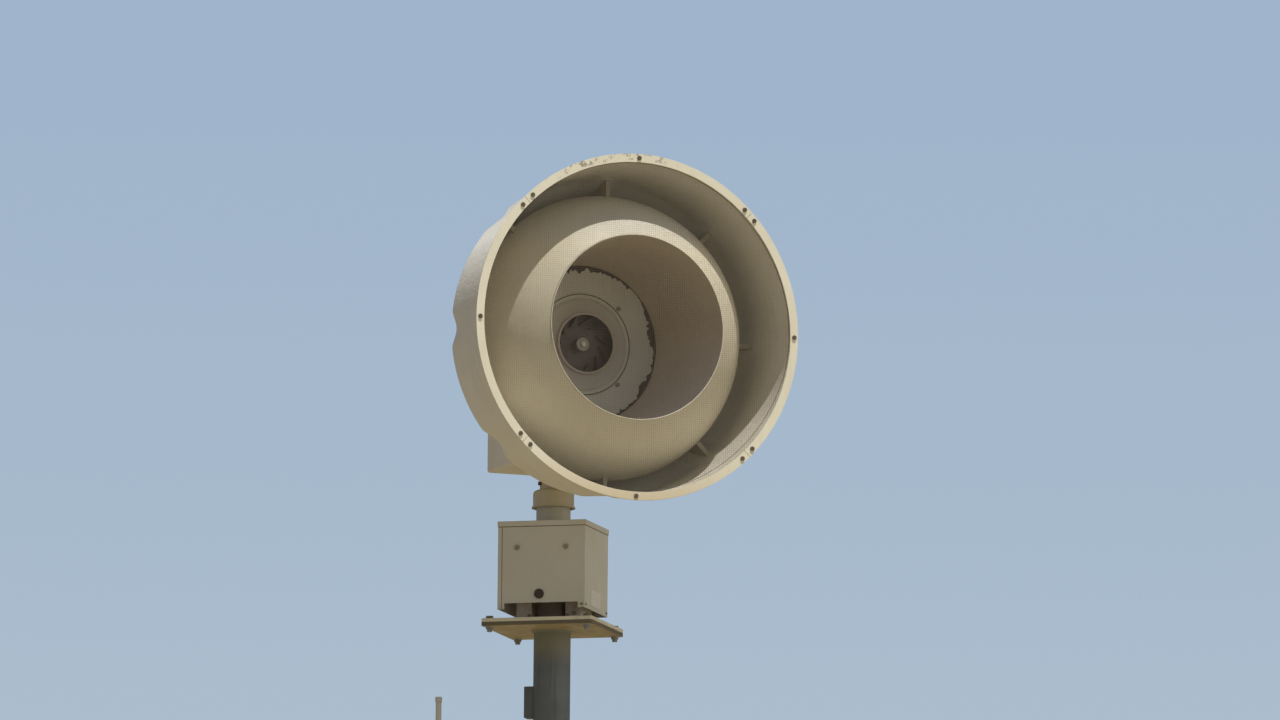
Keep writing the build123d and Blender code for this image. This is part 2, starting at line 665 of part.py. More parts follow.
with BuildPart() as box_bolt_holes:
    with BuildSketch(box_front(FRAME_HALF - 2 * FRAME_BAR_T, BOX_BOLT_Z)):
        with GridLocations(BOX_BOLT_SPAN, 1, 2, 1):
            Circle(BOX_BOLT_R + SEAT_GAP)
    extrude(amount=3 * FRAME_BAR_T)

with BuildPart() as plug_hole:
    with BuildSketch(box_front(FRAME_HALF - FRAME_BAR_T, BOX_BOTTOM_Z + PLUG_RISE)):
        with Locations((PLUG_X, 0)):
            Circle(PLUG_R - 2 * PLUG_NECK)
    extrude(amount=2 * FRAME_BAR_T)

with box_frame:
    add(box_bolt_holes.part, mode=Mode.SUBTRACT)

with box_walls:
    add(box_bolt_holes.part, mode=Mode.SUBTRACT)
    add(plug_hole.part, mode=Mode.SUBTRACT)

with BuildPart() as box_bolts:
    with BuildSketch(box_front(FRAME_HALF - FRAME_BAR_T, BOX_BOLT_Z)):
        with GridLocations(BOX_BOLT_SPAN, 1, 2, 1):
            Circle(BOX_BOLT_R)
    extrude(amount=FRAME_BAR_T + BOX_SHEET)
    with BuildSketch(box_front(WALL_FACE_Y, BOX_BOLT_Z)):
        with GridLocations(BOX_BOLT_SPAN, 1, 2, 1):
            RegularPolygon(BOX_BOLT_HEAD_R, 6)
    extrude(amount=BOX_BOLT_HEAD_T)
    with BuildSketch(box_front(WALL_FACE_Y, BOX_BOTTOM_Z + CORNER_SCREW_EDGE)):
        with Locations((BOX_WIDTH / 2 - CORNER_SCREW_EDGE, 0)):
            Circle(CORNER_SCREW_R)
    extrude(amount=CORNER_SCREW_T)
    with BuildSketch(box_side(BOX_WIDTH / 2 - LID_SHEET, BOX_BOTTOM_Z + CORNER_SCREW_EDGE)):
        with GridLocations(BOX_DEPTH - 3 * CORNER_SCREW_EDGE, 1, 2, 1):
            Circle(CORNER_SCREW_R)
    extrude(amount=CORNER_SCREW_T)
    with BuildSketch(box_front(BRACKET_FRONT, DECK_Z + BRACKET_HEIGHT / 3)):
        bracket_bolt_x = BRACKET_INNER_X + BRACKET_BOLT_R
        outer_bolt_x = BRACKET_INNER_X + BRACKET_WIDTH - 3 * BRACKET_BOLT_R
        with Locations((-bracket_bolt_x, 0), (bracket_bolt_x, 0), (outer_bolt_x, BRACKET_BOLT_R)):
            RegularPolygon(BRACKET_BOLT_R, 6)
    extrude(amount=BRACKET_BOLT_T)

with BuildPart() as hole_plug:
    with BuildSketch(box_front(FRAME_HALF - BOX_SHEET, BOX_BOTTOM_Z + PLUG_RISE)):
        with Locations((PLUG_X, 0)):
            Circle(PLUG_R - 2 * PLUG_NECK - SEAT_GAP)
    extrude(amount=2 * BOX_SHEET)
    with BuildSketch(box_front(WALL_FACE_Y, BOX_BOTTOM_Z + PLUG_RISE)):
        with Locations((PLUG_X, 0)):
            Circle(PLUG_R)
    extrude(amount=PLUG_T)

with BuildPart() as rating_plate:
    with BuildSketch(box_side(BOX_WIDTH / 2 - LID_SHEET, BOX_BOTTOM_Z + LABEL_RISE)):
        with Locations((LABEL_BACK, 0)):
            RectangleRounded(LABEL_WIDTH, LABEL_HEIGHT, 2 * LABEL_T)
    extrude(amount=LABEL_T)

# Shaft that carries the horn, its collar and neck
COLLAR_BOTTOM_Z = HORN_Z - COLLAR_BOTTOM_DROP
COLLAR_TOP_Z = HORN_Z - COLLAR_TOP_DROP
HOUSING_FLOOR_Z = HORN_Z - HOUSING_FLOOR_DROP
SHOULDER_Z = RISER_TOP_Z + SEAT_GAP

with BuildPart() as turn_shaft:
    with BuildSketch(level(HORN_Z - SHAFT_FOOT_DROP)):
        add(tube_ring(SHAFT_R, SHAFT_R - SHAFT_WALL))
    extrude(amount=SHOULDER_Z - HORN_Z + SHAFT_FOOT_DROP)
    with BuildSketch(level(SHOULDER_Z)):
        add(tube_ring(SHOULDER_R, SHAFT_R - SHAFT_WALL))
    extrude(amount=COLLAR_TOP_Z - SHOULDER_Z)

with BuildPart() as collar:
    with BuildSketch(level(COLLAR_BOTTOM_Z)):
        add(tube_ring(COLLAR_R, RISER_R + COLLAR_GAP))
    extrude(amount=COLLAR_TOP_Z - COLLAR_BOTTOM_Z)
    with BuildSketch(Plane.XZ):
        with BuildLine():
            Polyline(
                (COLLAR_R - COLLAR_TOP_T / 2, COLLAR_BOTTOM_Z),
                (COLLAR_LIP_R, COLLAR_BOTTOM_Z),
                (COLLAR_LIP_R, COLLAR_BOTTOM_Z + COLLAR_LIP_T - 2 * COLLAR_LIP_SLOPE),
                (COLLAR_R, COLLAR_BOTTOM_Z + COLLAR_LIP_T),
                (COLLAR_R - COLLAR_TOP_T / 2, COLLAR_BOTTOM_Z + COLLAR_LIP_T),
                close=True,
            )
        make_face()
    revolve(axis=POLE_AXIS)
    with BuildSketch(level(COLLAR_TOP_Z - COLLAR_TOP_T)):
        add(tube_ring(COLLAR_R, SHOULDER_R + SEAT_GAP))
    extrude(amount=COLLAR_TOP_T)
    top_edges = collar.edges().filter_by(GeomType.CIRCLE).group_by(Axis.Z)[-1]
    fillet(top_edges.sort_by(SortBy.RADIUS)[-1], radius=COLLAR_SHOULDER_R)

with BuildPart() as neck_ring:
    with BuildSketch(level(COLLAR_TOP_Z)):
        add(tube_ring(NECK_R, SHAFT_R - SHAFT_WALL))
    extrude(amount=HOUSING_FLOOR_Z - COLLAR_TOP_Z)

with BuildPart() as neck_bolts:
    for side in (-1, 1):
        with BuildSketch(Plane(origin=(side * NECK_R, 0, HORN_Z - NECK_BOLT_DROP), z_dir=(side, 0, 0))):
            RegularPolygon(NECK_BOLT_R, 6)
        extrude(amount=NECK_BOLT_REACH)

# Motor housing: a folded sheet box, open at the rear, with a bolted rear cover
STATOR_REAR_Y = STATOR_BACK_D + STATOR_BACK_T - RIM_REACH
HOUSING_HEIGHT = HOUSING_FLOOR_DROP + HOUSING_ROOF_RISE
HOUSING_MID_Z = HORN_Z + (HOUSING_ROOF_RISE - HOUSING_FLOOR_DROP) / 2
HOUSING_DEPTH = HOUSING_BACK_Y - HOUSING_SHEET - STATOR_REAR_Y


def housing_plane(y):
    """Plane across the housing, facing the rear."""
    return Plane(origin=(0, y, HOUSING_MID_Z), x_dir=(-1, 0, 0), z_dir=(0, 1, 0))


with BuildPart() as rear_housing:
    with BuildSketch(housing_plane(STATOR_REAR_Y)):
        RectangleRounded(2 * HOUSING_HALF_WIDTH, HOUSING_HEIGHT, HOUSING_BEND_R)
    extrude(amount=HOUSING_DEPTH)
    with BuildSketch(housing_plane(STATOR_REAR_Y + HOUSING_SHEET)):
        RectangleRounded(
            2 * HOUSING_HALF_WIDTH - 2 * HOUSING_SHEET,
            HOUSING_HEIGHT - 2 * HOUSING_SHEET,
            HOUSING_BEND_R - HOUSING_SHEET,
        )
    extrude(amount=HOUSING_DEPTH - 2 * HOUSING_SHEET, mode=Mode.SUBTRACT)
    with BuildSketch(housing_plane(HOUSING_BACK_Y - 2 * HOUSING_SHEET)):
        RectangleRounded(
            2 * HOUSING_HALF_WIDTH - 2 * HOUSING_LUG,
            HOUSING_HEIGHT - 2 * HOUSING_LUG,
            HOUSING_BEND_R,
        )
    extrude(amount=2 * HOUSING_SHEET, both=True, mode=Mode.SUBTRACT)
    with BuildSketch(face_plane(STATOR_BACK_D + STATOR_BACK_T)):
        Circle(HOUSING_PORT_R)
    extrude(amount=2 * HOUSING_SHEET, both=True, mode=Mode.SUBTRACT)

with BuildPart() as rear_cover:
    with BuildSketch(housing_plane(HOUSING_BACK_Y - HOUSING_SHEET)):
        RectangleRounded(2 * HOUSING_HALF_WIDTH, HOUSING_HEIGHT, HOUSING_BEND_R)
    extrude(amount=HOUSING_SHEET)

with BuildPart() as cover_screws:
    screw_span = 2 * HOUSING_HALF_WIDTH - 2 * HOUSING_LUG
    screw_step = (HOUSING_HEIGHT - 2 * HOUSING_LUG) / 3
    with BuildSketch(housing_plane(HOUSING_BACK_Y)):
        with GridLocations(screw_span, screw_step, 2, 4):
            Circle(HOUSING_SCREW_R)
    extrude(amount=HOUSING_SHEET)

# Cutters for the flutes pressed into the shell's rear corner, for its outside and its inside
flute_angles = [FLUTE_STEP * step for step in range(FLUTE_COUNT)]


def flute_set(radius):
    """All flute cutters with one tube radius."""
    with BuildPart() as cutters:
        for angle in flute_angles:
            with BuildSketch(flute_plane(angle)):
                with Locations((FLUTE_PATH_R, 0)):
                    Circle(radius)
            revolve(axis=flute_axis(angle), revolution_arc=FLUTE_ARC)
    return cutters.part


with BuildPart() as bowl_cavity:
    with BuildSketch(radial_plane(0)):
        add(shell_region(SHELL_WALL, -MOUTH_FLANGE_T))
    revolve(axis=HORN_AXIS)
    add(flute_set(FLUTE_RADIUS + SHELL_WALL), mode=Mode.SUBTRACT)

with BuildPart() as outer_shell:
    with BuildSketch(radial_plane(0)):
        add(shell_region(0, FLANGE_FRONT_D))
    revolve(axis=HORN_AXIS)
    add(flute_set(FLUTE_RADIUS), mode=Mode.SUBTRACT)
    pressed_faces = outer_shell.faces().filter_by(GeomType.TORUS).filter_by(
        lambda face: face.bounding_box().size.Y > CORNER_RADIUS
    )
    fillet(pressed_faces.edges(), radius=FLUTE_SHOULDER_R)
    with BuildSketch(face_plane(FLANGE_FRONT_D)):
        Circle(MOUTH_FLANGE_R)
    extrude(amount=MOUTH_FLANGE_T)
    flange_root = outer_shell.edges().filter_by(GeomType.CIRCLE).filter_by(
        lambda edge: abs(edge.radius - SHELL_FRONT_R) < SHELL_WALL / 2
    )
    fillet(flange_root, radius=MOUTH_COVE_R)
    add(bowl_cavity.part, mode=Mode.SUBTRACT)
    with BuildSketch(face_plane(PLATE_D)):
        Circle(STATOR_R + SEAT_GAP)
    extrude(amount=BACK_RADIUS, mode=Mode.SUBTRACT)

with BuildPart() as fairing_form:
    with BuildSketch(radial_plane(0)):
        add(fairing_region(0))
    revolve(axis=HORN_AXIS)

with BuildPart() as inner_fairing:
    add(fairing_form.part)
    with BuildSketch(radial_plane(0)):
        add(fairing_region(FAIRING_WALL))
    revolve(axis=HORN_AXIS, mode=Mode.SUBTRACT)
    with BuildSketch(radial_plane(0)):
        with BuildLine():
            Polyline(
                (-RIM_REACH, 0),
                (-RIM_REACH, DUCT_FRONT_R + DUCT_WALL + SEAT_GAP),
                (DUCT_FRONT_D, DUCT_FRONT_R + DUCT_WALL + SEAT_GAP),
                (PLATE_D, DUCT_BACK_R + DUCT_WALL + SEAT_GAP),
                (RIM_REACH, DUCT_BACK_R + DUCT_WALL + SEAT_GAP),
                (RIM_REACH, 0),
                close=True,
            )
        make_face()
    revolve(axis=HORN_AXIS, mode=Mode.SUBTRACT)

with BuildPart() as intake_duct:
    with BuildSketch(radial_plane(0)):
        with BuildLine():
            Polyline(
                (DUCT_FRONT_D, DUCT_FRONT_R),
                (DUCT_FRONT_D, DUCT_FRONT_R + DUCT_WALL),
                (PLATE_D, DUCT_BACK_R + DUCT_WALL),
                (PLATE_D, DUCT_BACK_R),
                close=True,
            )
        make_face()
    revolve(axis=HORN_AXIS)

with BuildPart() as vanes:
    for angle in flute_angles:
        with BuildSketch(radial_plane(angle)):
            with BuildLine():
                Polyline(
                    (VANE_FRONT_D, DUCT_FRONT_R),
                    (VANE_FRONT_D, MOUTH_FLANGE_R),
                    (VANE_BACK_D, MOUTH_FLANGE_R),
                    (VANE_BACK_D, DUCT_FRONT_R),
                    close=True,
                )
            make_face()
        extrude(amount=VANE_T / 2, both=True)
    add(bowl_cavity.part, mode=Mode.INTERSECT)
    add(fairing_form.part, mode=Mode.SUBTRACT)

# Rim clamped over the mouth in four segments, with their joints on the diagonals
SEGMENT_ANGLE = 90.0


def segment_screws(middle):
    """Angles of one rim segment's screws."""
    end = SEGMENT_ANGLE / 2 - SCREW_PAIR_ANGLE
    return (middle - end, middle, middle + end)


screw_angles = [angle for step in range(4) for angle in segment_screws(step * SEGMENT_ANGLE)]


def screw_sketch(radius):
    """Circles at every rim screw, on a plane across the mouth."""
    with BuildSketch() as circles:
        for angle in screw_angles:
            with PolarLocations(SCREW_CIRCLE_R, 1, start_angle=angle):
                Circle(radius)
    return circles.sketch


def rim_segment(middle):
    """One quarter of the rim, with its screw holes."""
    half = SEGMENT_ANGLE / 2 - degrees(RIM_GAP / 2 / RIM_OUTER_R)
    with BuildPart() as segment:
        with BuildSketch(face_plane(0)):
            with BuildLine():
                outer = CenterArc((0, 0), RIM_OUTER_R, middle - half, 2 * half)
                inner = CenterArc((0, 0), RIM_INNER_R, middle - half, 2 * half)
                Line(outer @ 0, inner @ 0)
                Line(outer @ 1, inner @ 1)
            make_face()
            add(screw_sketch(SCREW_R + SEAT_GAP), mode=Mode.SUBTRACT)
        extrude(amount=RIM_T)
    return segment


rim_names = ("rim_segment_left", "rim_segment_top", "rim_segment_right", "rim_segment_bottom")
rim_middles = (0.0, 90.0, 180.0, 270.0)
rim_segments = {name: rim_segment(middle) for name, middle in zip(rim_names, rim_middles)}

with outer_shell:
    with BuildSketch(face_plane(0)):
        add(screw_sketch(SCREW_R + SEAT_GAP))
    extrude(amount=FLANGE_BACK_D + MOUTH_FLANGE_T, mode=Mode.SUBTRACT)

with BuildPart() as rim_screws:
    with BuildSketch(face_plane(-SCREW_HEAD_T)):
        add(screw_sketch(SCREW_HEAD_R))
    extrude(amount=SCREW_HEAD_T)
    with BuildSketch(face_plane(0)):
        add(screw_sketch(SCREW_R))
    extrude(amount=FLANGE_BACK_D + SCREW_TAIL)

# Plate at the back of the intake duct, drawn forward into a cone round the rotor's inlet
with BuildPart() as back_plate:
    bead_foot = (PLATE_D, BEAD_R + BEAD_HALF)
    bead_crest = (PLATE_D - BEAD_HALF, BEAD_R)
    bead_toe = (PLATE_D, BEAD_R - BEAD_HALF)
    with BuildSketch(radial_plane(0)):
        with BuildLine():
            Polyline(
                (PLATE_D, CONE_FOOT_R),
                (CONE_TOP_D, CONE_TOP_R + CONE_SKIN),
                (CONE_TOP_D, CONE_TOP_R - CONE_SKIN),
                (PLATE_D + PLATE_T, CONE_FOOT_R - PLATE_T),
                (PLATE_D + PLATE_T, STATOR_R),
                (PLATE_D, STATOR_R),
                bead_foot,
            )
            ThreePointArc(bead_foot, bead_crest, bead_toe)
            Line(bead_toe, (PLATE_D, CONE_FOOT_R))
        make_face()
    revolve(axis=HORN_AXIS)

with BuildPart() as inlet_ring:
    with BuildSketch(radial_plane(0)):
        with Locations((CONE_TOP_D - INLET_TUBE_R, CONE_TOP_R)):
            Circle(INLET_TUBE_R)
    revolve(axis=HORN_AXIS)

with BuildPart() as back_plate_bolts:
    with BuildSketch(face_plane(PLATE_D - DISC_BOLT_HEAD_T)):
        with PolarLocations(PLATE_BOLT_CIRCLE_R, 4, start_angle=45):
            RegularPolygon(DISC_BOLT_HEAD_R, 6)
    extrude(amount=DISC_BOLT_HEAD_T)

# Stator: a ring wall with a port between each pair of vanes, and a disc behind it
with BuildPart() as stator:
    with BuildSketch(face_plane(STATOR_FRONT_D)):
        add(tube_ring(STATOR_R, STATOR_R - STATOR_WALL))
    extrude(amount=STATOR_BACK_D - STATOR_FRONT_D)
    for angle in flute_angles:
        port_length = STATOR_BACK_D - STATOR_FRONT_D - 2 * PORT_MARGIN
        with BuildSketch(radial_plane(angle + FLUTE_STEP / 2)):
            with Locations(((STATOR_FRONT_D + STATOR_BACK_D) / 2, STATOR_R)):
                Rectangle(port_length, 4 * STATOR_WALL)
        extrude(amount=PORT_WIDTH / 2, both=True, mode=Mode.SUBTRACT)
    with BuildSketch(face_plane(STATOR_BACK_D)):
        add(tube_ring(STATOR_RIM_R, ROTOR_SHAFT_R + BEARING_CLEARANCE))
    extrude(amount=STATOR_BACK_T)

# Rotor: a disc, swept blades and a front shroud, on a shaft that runs back into the motor housing
ROTOR_BACK_D = STATOR_BACK_D - ROTOR_GAP
ROTOR_R = STATOR_R - STATOR_WALL - ROTOR_GAP
BLADE_FRONT_D = STATOR_FRONT_D + ROTOR_GAP


def blade_sketch(angle):
    """One swept blade, bowed between the hub's side and the rotor's edge."""
    foot_turn = radians(angle)
    tip_turn = radians(angle + BLADE_SWEEP)
    tip_r = ROTOR_R - BLADE_T
    foot = (BLADE_INNER_R * cos(foot_turn), BLADE_INNER_R * sin(foot_turn))
    tip = (tip_r * cos(tip_turn), tip_r * sin(tip_turn))
    with BuildSketch() as blade:
        with BuildLine():
            SagittaArc(foot, tip, BLADE_BOW)
        trace(line_width=BLADE_T)
    return blade.sketch


with BuildPart() as rotor:
    with BuildSketch(face_plane(ROTOR_BACK_D - ROTOR_DISC_T)):
        Circle(ROTOR_R)
    extrude(amount=ROTOR_DISC_T)
    with BuildSketch(face_plane(BLADE_FRONT_D)):
        for blade in range(BLADE_COUNT):
            add(blade_sketch(360 / BLADE_COUNT * blade))
    extrude(amount=ROTOR_BACK_D - BLADE_FRONT_D)
    with BuildSketch(face_plane(BLADE_FRONT_D)):
        add(tube_ring(ROTOR_R, SHROUD_INNER_R))
    extrude(amount=SHROUD_T)
    with BuildSketch(face_plane(HUB_FRONT_D)):
        Circle(HUB_R)
    extrude(amount=ROTOR_BACK_D - HUB_FRONT_D)
    with BuildSketch(face_plane(ROTOR_BACK_D)):
        Circle(ROTOR_SHAFT_R)
    extrude(amount=ROTOR_SHAFT_TAIL)

with BuildPart() as rotor_nut:
    with BuildSketch(face_plane(HUB_FRONT_D - HUB_NUT_T)):
        RegularPolygon(HUB_NUT_R, 6)
    extrude(amount=HUB_NUT_T)

# Everything is labelled and written out
pieces = {
    "base_flange": base_flange,
    "base_gussets": base_gussets,
    "pole_lower": pole_lower,
    "lower_reducer": lower_reducer,
    "pole_middle": pole_middle,
    "upper_reducer": upper_reducer,
    "pole_upper": pole_upper,
    "handhole_cover": handhole_cover,
    "pole_side_box": pole_side_box,
    "antenna_arm": antenna_arm,
    "antenna_bands": antenna_bands,
    "antenna_whip": antenna_whip,
    "pole_top_plate": pole_top_plate,
    "siren_base_plate": siren_base_plate,
    "plate_bolts": plate_bolts,
    "riser_pipe": riser_pipe,
    "riser_bearings": riser_bearings,
    "box_frame": box_frame,
    "box_walls": box_walls,
    "box_lid": box_lid,
    "box_bolts": box_bolts,
    "hole_plug": hole_plug,
    "rating_plate": rating_plate,
    "turn_shaft": turn_shaft,
    "collar": collar,
    "neck_ring": neck_ring,
    "neck_bolts": neck_bolts,
    "rear_housing": rear_housing,
    "rear_cover": rear_cover,
    "cover_screws": cover_screws,
    "stator": stator,
    "outer_shell": outer_shell,
    "inner_fairing": inner_fairing,
    "intake_duct": intake_duct,
    "vanes": vanes,
    "rim_screws": rim_screws,
    "back_plate": back_plate,
    "back_plate_bolts": back_plate_bolts,
    "inlet_ring": inlet_ring,
    "rotor": rotor,
    "rotor_nut": rotor_nut,
}
pieces.update(rim_segments)
os.makedirs("parts", exist_ok=True)
for name, piece in pieces.items():
    piece.part.label = name
    export_step(piece.part, "parts/" + name + ".step")
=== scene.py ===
# %% [markdown]
# Civil defense siren tower
#
# The real object is an outdoor warning siren on a stepped steel pole: a round fibreglass horn that turns on
# a riser, a steel drive box with a sheet cover under it, and a painted pole down to a base flange.
# The construction is already there, as solids of the right size. This lesson gives it its looks: finishes
# with weather on them, smooth shells where the solids show facets, and the small things that catch the eye.

# %% Load the frame
import json
from math import atan2, cos, degrees, hypot, radians, sin, sqrt, tau

import bpy
from mathutils import Matrix, Vector, noise

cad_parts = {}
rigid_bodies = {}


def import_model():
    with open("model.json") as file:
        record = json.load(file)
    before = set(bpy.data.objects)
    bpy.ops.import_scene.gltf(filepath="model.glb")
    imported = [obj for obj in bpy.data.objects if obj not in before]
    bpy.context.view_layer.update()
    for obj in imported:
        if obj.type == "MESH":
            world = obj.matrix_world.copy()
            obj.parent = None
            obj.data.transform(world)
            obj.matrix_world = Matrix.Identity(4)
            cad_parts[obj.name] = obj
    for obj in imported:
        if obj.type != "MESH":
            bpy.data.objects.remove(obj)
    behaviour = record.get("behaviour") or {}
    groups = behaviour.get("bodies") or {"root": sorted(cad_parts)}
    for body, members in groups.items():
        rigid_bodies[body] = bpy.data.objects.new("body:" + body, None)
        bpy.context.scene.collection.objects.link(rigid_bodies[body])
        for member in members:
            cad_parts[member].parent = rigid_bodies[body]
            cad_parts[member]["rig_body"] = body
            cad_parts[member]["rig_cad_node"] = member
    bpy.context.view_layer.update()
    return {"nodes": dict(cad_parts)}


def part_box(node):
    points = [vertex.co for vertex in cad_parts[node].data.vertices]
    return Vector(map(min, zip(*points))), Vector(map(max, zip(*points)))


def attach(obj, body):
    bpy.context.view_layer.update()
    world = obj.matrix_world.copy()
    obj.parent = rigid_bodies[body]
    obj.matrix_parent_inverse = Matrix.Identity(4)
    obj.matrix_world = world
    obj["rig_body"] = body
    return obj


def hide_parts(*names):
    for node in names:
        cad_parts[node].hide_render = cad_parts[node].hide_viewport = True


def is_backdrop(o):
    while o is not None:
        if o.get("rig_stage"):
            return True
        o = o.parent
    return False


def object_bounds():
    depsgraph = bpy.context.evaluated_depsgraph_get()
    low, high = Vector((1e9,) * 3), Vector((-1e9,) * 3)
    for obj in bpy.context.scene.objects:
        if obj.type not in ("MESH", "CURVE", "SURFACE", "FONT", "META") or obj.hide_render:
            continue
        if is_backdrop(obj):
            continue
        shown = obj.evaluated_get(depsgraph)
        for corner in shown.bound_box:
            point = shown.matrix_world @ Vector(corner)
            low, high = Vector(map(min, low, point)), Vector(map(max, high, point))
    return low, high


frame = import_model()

nodes = frame["nodes"]
print("nodes in the frame:", len(nodes))

# %% [markdown]
# Every place is worked out from the frame. The horn's axis runs level from front to back, so its height is
# the middle of the intake duct, and depths are measured back from the front face of the rim.

# %% Places on the horn and the pole
duct_low, duct_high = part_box("intake_duct")
HORN_Z = (duct_low.z + duct_high.z) / 2
RIM_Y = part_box("rim_segment_top")[0].y
RIM_OUTER_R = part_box("rim_segment_top")[1].z - HORN_Z
DECK_TURN = radians(-38.95)
DECK_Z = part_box("siren_base_plate")[1].z
POLE_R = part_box("pole_upper")[1].x
PLATES_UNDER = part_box("pole_top_plate")[0].z
LID_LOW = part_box("box_lid")[0].z
print("horn axis height:", round(HORN_Z, 3), "m, rim radius:", round(RIM_OUTER_R, 3), "m")

# %% [markdown]
# The photograph was taken from the ground, far away, through a long lens, from left of the horn's front.
# A long way off, the camera sees nearly parallel lines, so the lens and the distance set the scale together:
# one pixel of the photograph is about three millimetres on the siren. The camera also leans by half a degree.

# %% Camera
VIEW_TURN = radians(-23.05)
VIEW_RISE = radians(-8.0)
VIEW_DISTANCE = 71.0
VIEW_LEAN = radians(0.55)
LENS_MM = 646.0
FRAME_MM = 36.0
AIM_ASIDE = 0.2627
AIM_DROP = 0.0185

camera_data = bpy.data.cameras.new("camera")
camera_data.lens = LENS_MM
camera_data.sensor_width = FRAME_MM
camera_data.clip_start = 1.0
camera_data.clip_end = 400.0
camera = bpy.data.objects.new("camera", camera_data)
bpy.context.scene.collection.objects.link(camera)
towards = Vector((sin(VIEW_TURN) * cos(VIEW_RISE), -cos(VIEW_TURN) * cos(VIEW_RISE), sin(VIEW_RISE)))
aside = Vector((cos(VIEW_TURN), sin(VIEW_TURN), 0))
target = Vector((0, 0, HORN_Z - AIM_DROP)) + AIM_ASIDE * aside
look = towards.to_track_quat("Z", "Y").to_matrix().to_4x4()
lean = Matrix.Rotation(VIEW_LEAN, 4, "Z")
camera.matrix_world = Matrix.Translation(target + VIEW_DISTANCE * towards) @ look @ lean
bpy.context.scene.camera = camera
bpy.context.scene.view_settings.view_transform = "Standard"
print("camera height:", round(camera.location.z, 2), "m")

# %% [markdown]
# Materials are node trees. Short helpers keep them readable: they put a node in a tree and feed its sockets,
# mix colours, multiply masks, read a place and make noise, and one starts a node group with named inputs and
# outputs. A group holds an effect that several materials share, so that a change to it reaches all of them.

# %% Node helpers


def feed(tree, socket, value):
    """Link a socket to another one, or set it to a plain value."""
    if isinstance(value, bpy.types.NodeSocket):
        tree.links.new(value, socket)
    else:
        socket.default_value = value


def put(tree, kind, sockets=None, **settings):
    """Add a node, set its settings, and feed its sockets."""
    made = tree.nodes.new(kind)
    for name, value in settings.items():
        setattr(made, name, value)
    for name, value in (sockets or {}).items():
        feed(tree, made.inputs[name], value)
    return made


def start_group(name, inputs, outputs):
    """Start a node group; returns its tree, the values that come in and the sockets that go out."""
    tree = bpy.data.node_groups.new(name, "ShaderNodeTree")
    for label, value in inputs.items():
        kind = "NodeSocketFloat" if isinstance(value, float) else "NodeSocketColor"
        tree.interface.new_socket(name=label, in_out="INPUT", socket_type=kind).default_value = value
    for label, kind in outputs.items():
        tree.interface.new_socket(name=label, in_out="OUTPUT", socket_type=kind)
    return tree, put(tree, "NodeGroupInput").outputs, put(tree, "NodeGroupOutput").inputs


def blend_colours(tree, share, first, second):
    """Mix two colours by a share; returns the colour socket."""
    return put(tree, "ShaderNodeMix", {0: share, 6: first, 7: second}, data_type="RGBA").outputs[2]


def maths(tree, how, first, second=0.0):
    """Join two numbers with a math node; returns the value socket."""
    return put(tree, "ShaderNodeMath", {0: first, 1: second}, operation=how).outputs[0]


def times(tree, product, *masks):
    """Product of masks; returns the value socket."""
    for mask in masks:
        product = maths(tree, "MULTIPLY", product, mask)
    return product


def vectors(tree, how, first, second=(0, 0, 0)):
    """Join two vectors with a vector math node; returns its outputs."""
    return put(tree, "ShaderNodeVectorMath", {0: first, 1: second}, operation=how).outputs


def span(tree, value, low, high, to_low=0.0, to_high=1.0):
    """Stretch a value from one range to another, held at its ends; returns the value socket."""
    sockets = {"Value": value, "From Min": low, "From Max": high, "To Min": to_low, "To Max": to_high}
    return put(tree, "ShaderNodeMapRange", sockets).outputs["Result"]


def position(tree):
    """Place in the object's own coordinates; returns the vector socket."""
    return put(tree, "ShaderNodeTexCoord").outputs["Object"]


def part(tree, vector, axis):
    """X, Y or Z of a vector; returns the value socket."""
    return put(tree, "ShaderNodeSeparateXYZ", {"Vector": vector}).outputs[axis]


def upwards(tree):
    """How far a face looks up, one for level ground and none for a wall; returns the value socket."""
    return part(tree, put(tree, "ShaderNodeNewGeometry").outputs["Normal"], "Z")


def clouds(tree, place, scale, detail, rough=0.5):
    """Noise about one half; returns the value socket."""
    sockets = {"Vector": place, "Scale": scale, "Detail": detail, "Roughness": rough}
    return put(tree, "ShaderNodeTexNoise", sockets).outputs["Fac"]


def srgb(red, green, blue):
    """Colour as read on a screen, 0 to 255, as the linear colour that a node wants."""
    shares = [value / 255 for value in (red, green, blue)]
    linear = [((share + 0.055) / 1.055) ** 2.4 for share in shares]
    return (*linear, 1.0)


# %% [markdown]
# The light is one sun, high and a little in front and to the right, as in the photograph: the rim throws its
# shadow over the upper part of the dome. A weak second lamp with a very wide disc stands for the bright haze
# low in front, and an even world lights the rest. To the camera the sky grows paler towards the horizon.
# The floor is pale to the camera too, but gives back less light than it shows: a real siren stands over dull
# ground, and a white floor would light the horn's underside like a lamp. A Light Path node tells the kinds
# of ray apart.

# %% Sun, haze, world and floor
SUN_FROM = Vector((0.10, -0.29, 0.952))
SUN_POWER = 3.7
SUN_DISC = radians(1.2)
SUN_COLOUR = (1.0, 0.97, 0.91)
HAZE_FROM = Vector((0.58, -0.81, 0.03))
HAZE_POWER = 0.68
HAZE_DISC = radians(70)
HAZE_COLOUR = (1.0, 0.94, 0.80)
SKY_LIGHT = (0.232, 0.240, 0.262, 1.0)
SKY_HIGH = srgb(160, 180, 203)
SKY_LOW = srgb(173, 191, 206)
SKY_CLIMB = (0.118, 0.150)
FLOOR_SEEN = srgb(206, 202, 192)
FLOOR_GIVES = (0.285, 0.240, 0.145, 1.0)
FLOOR_HALF = 60.0
FLOOR_ROUGH = 0.9


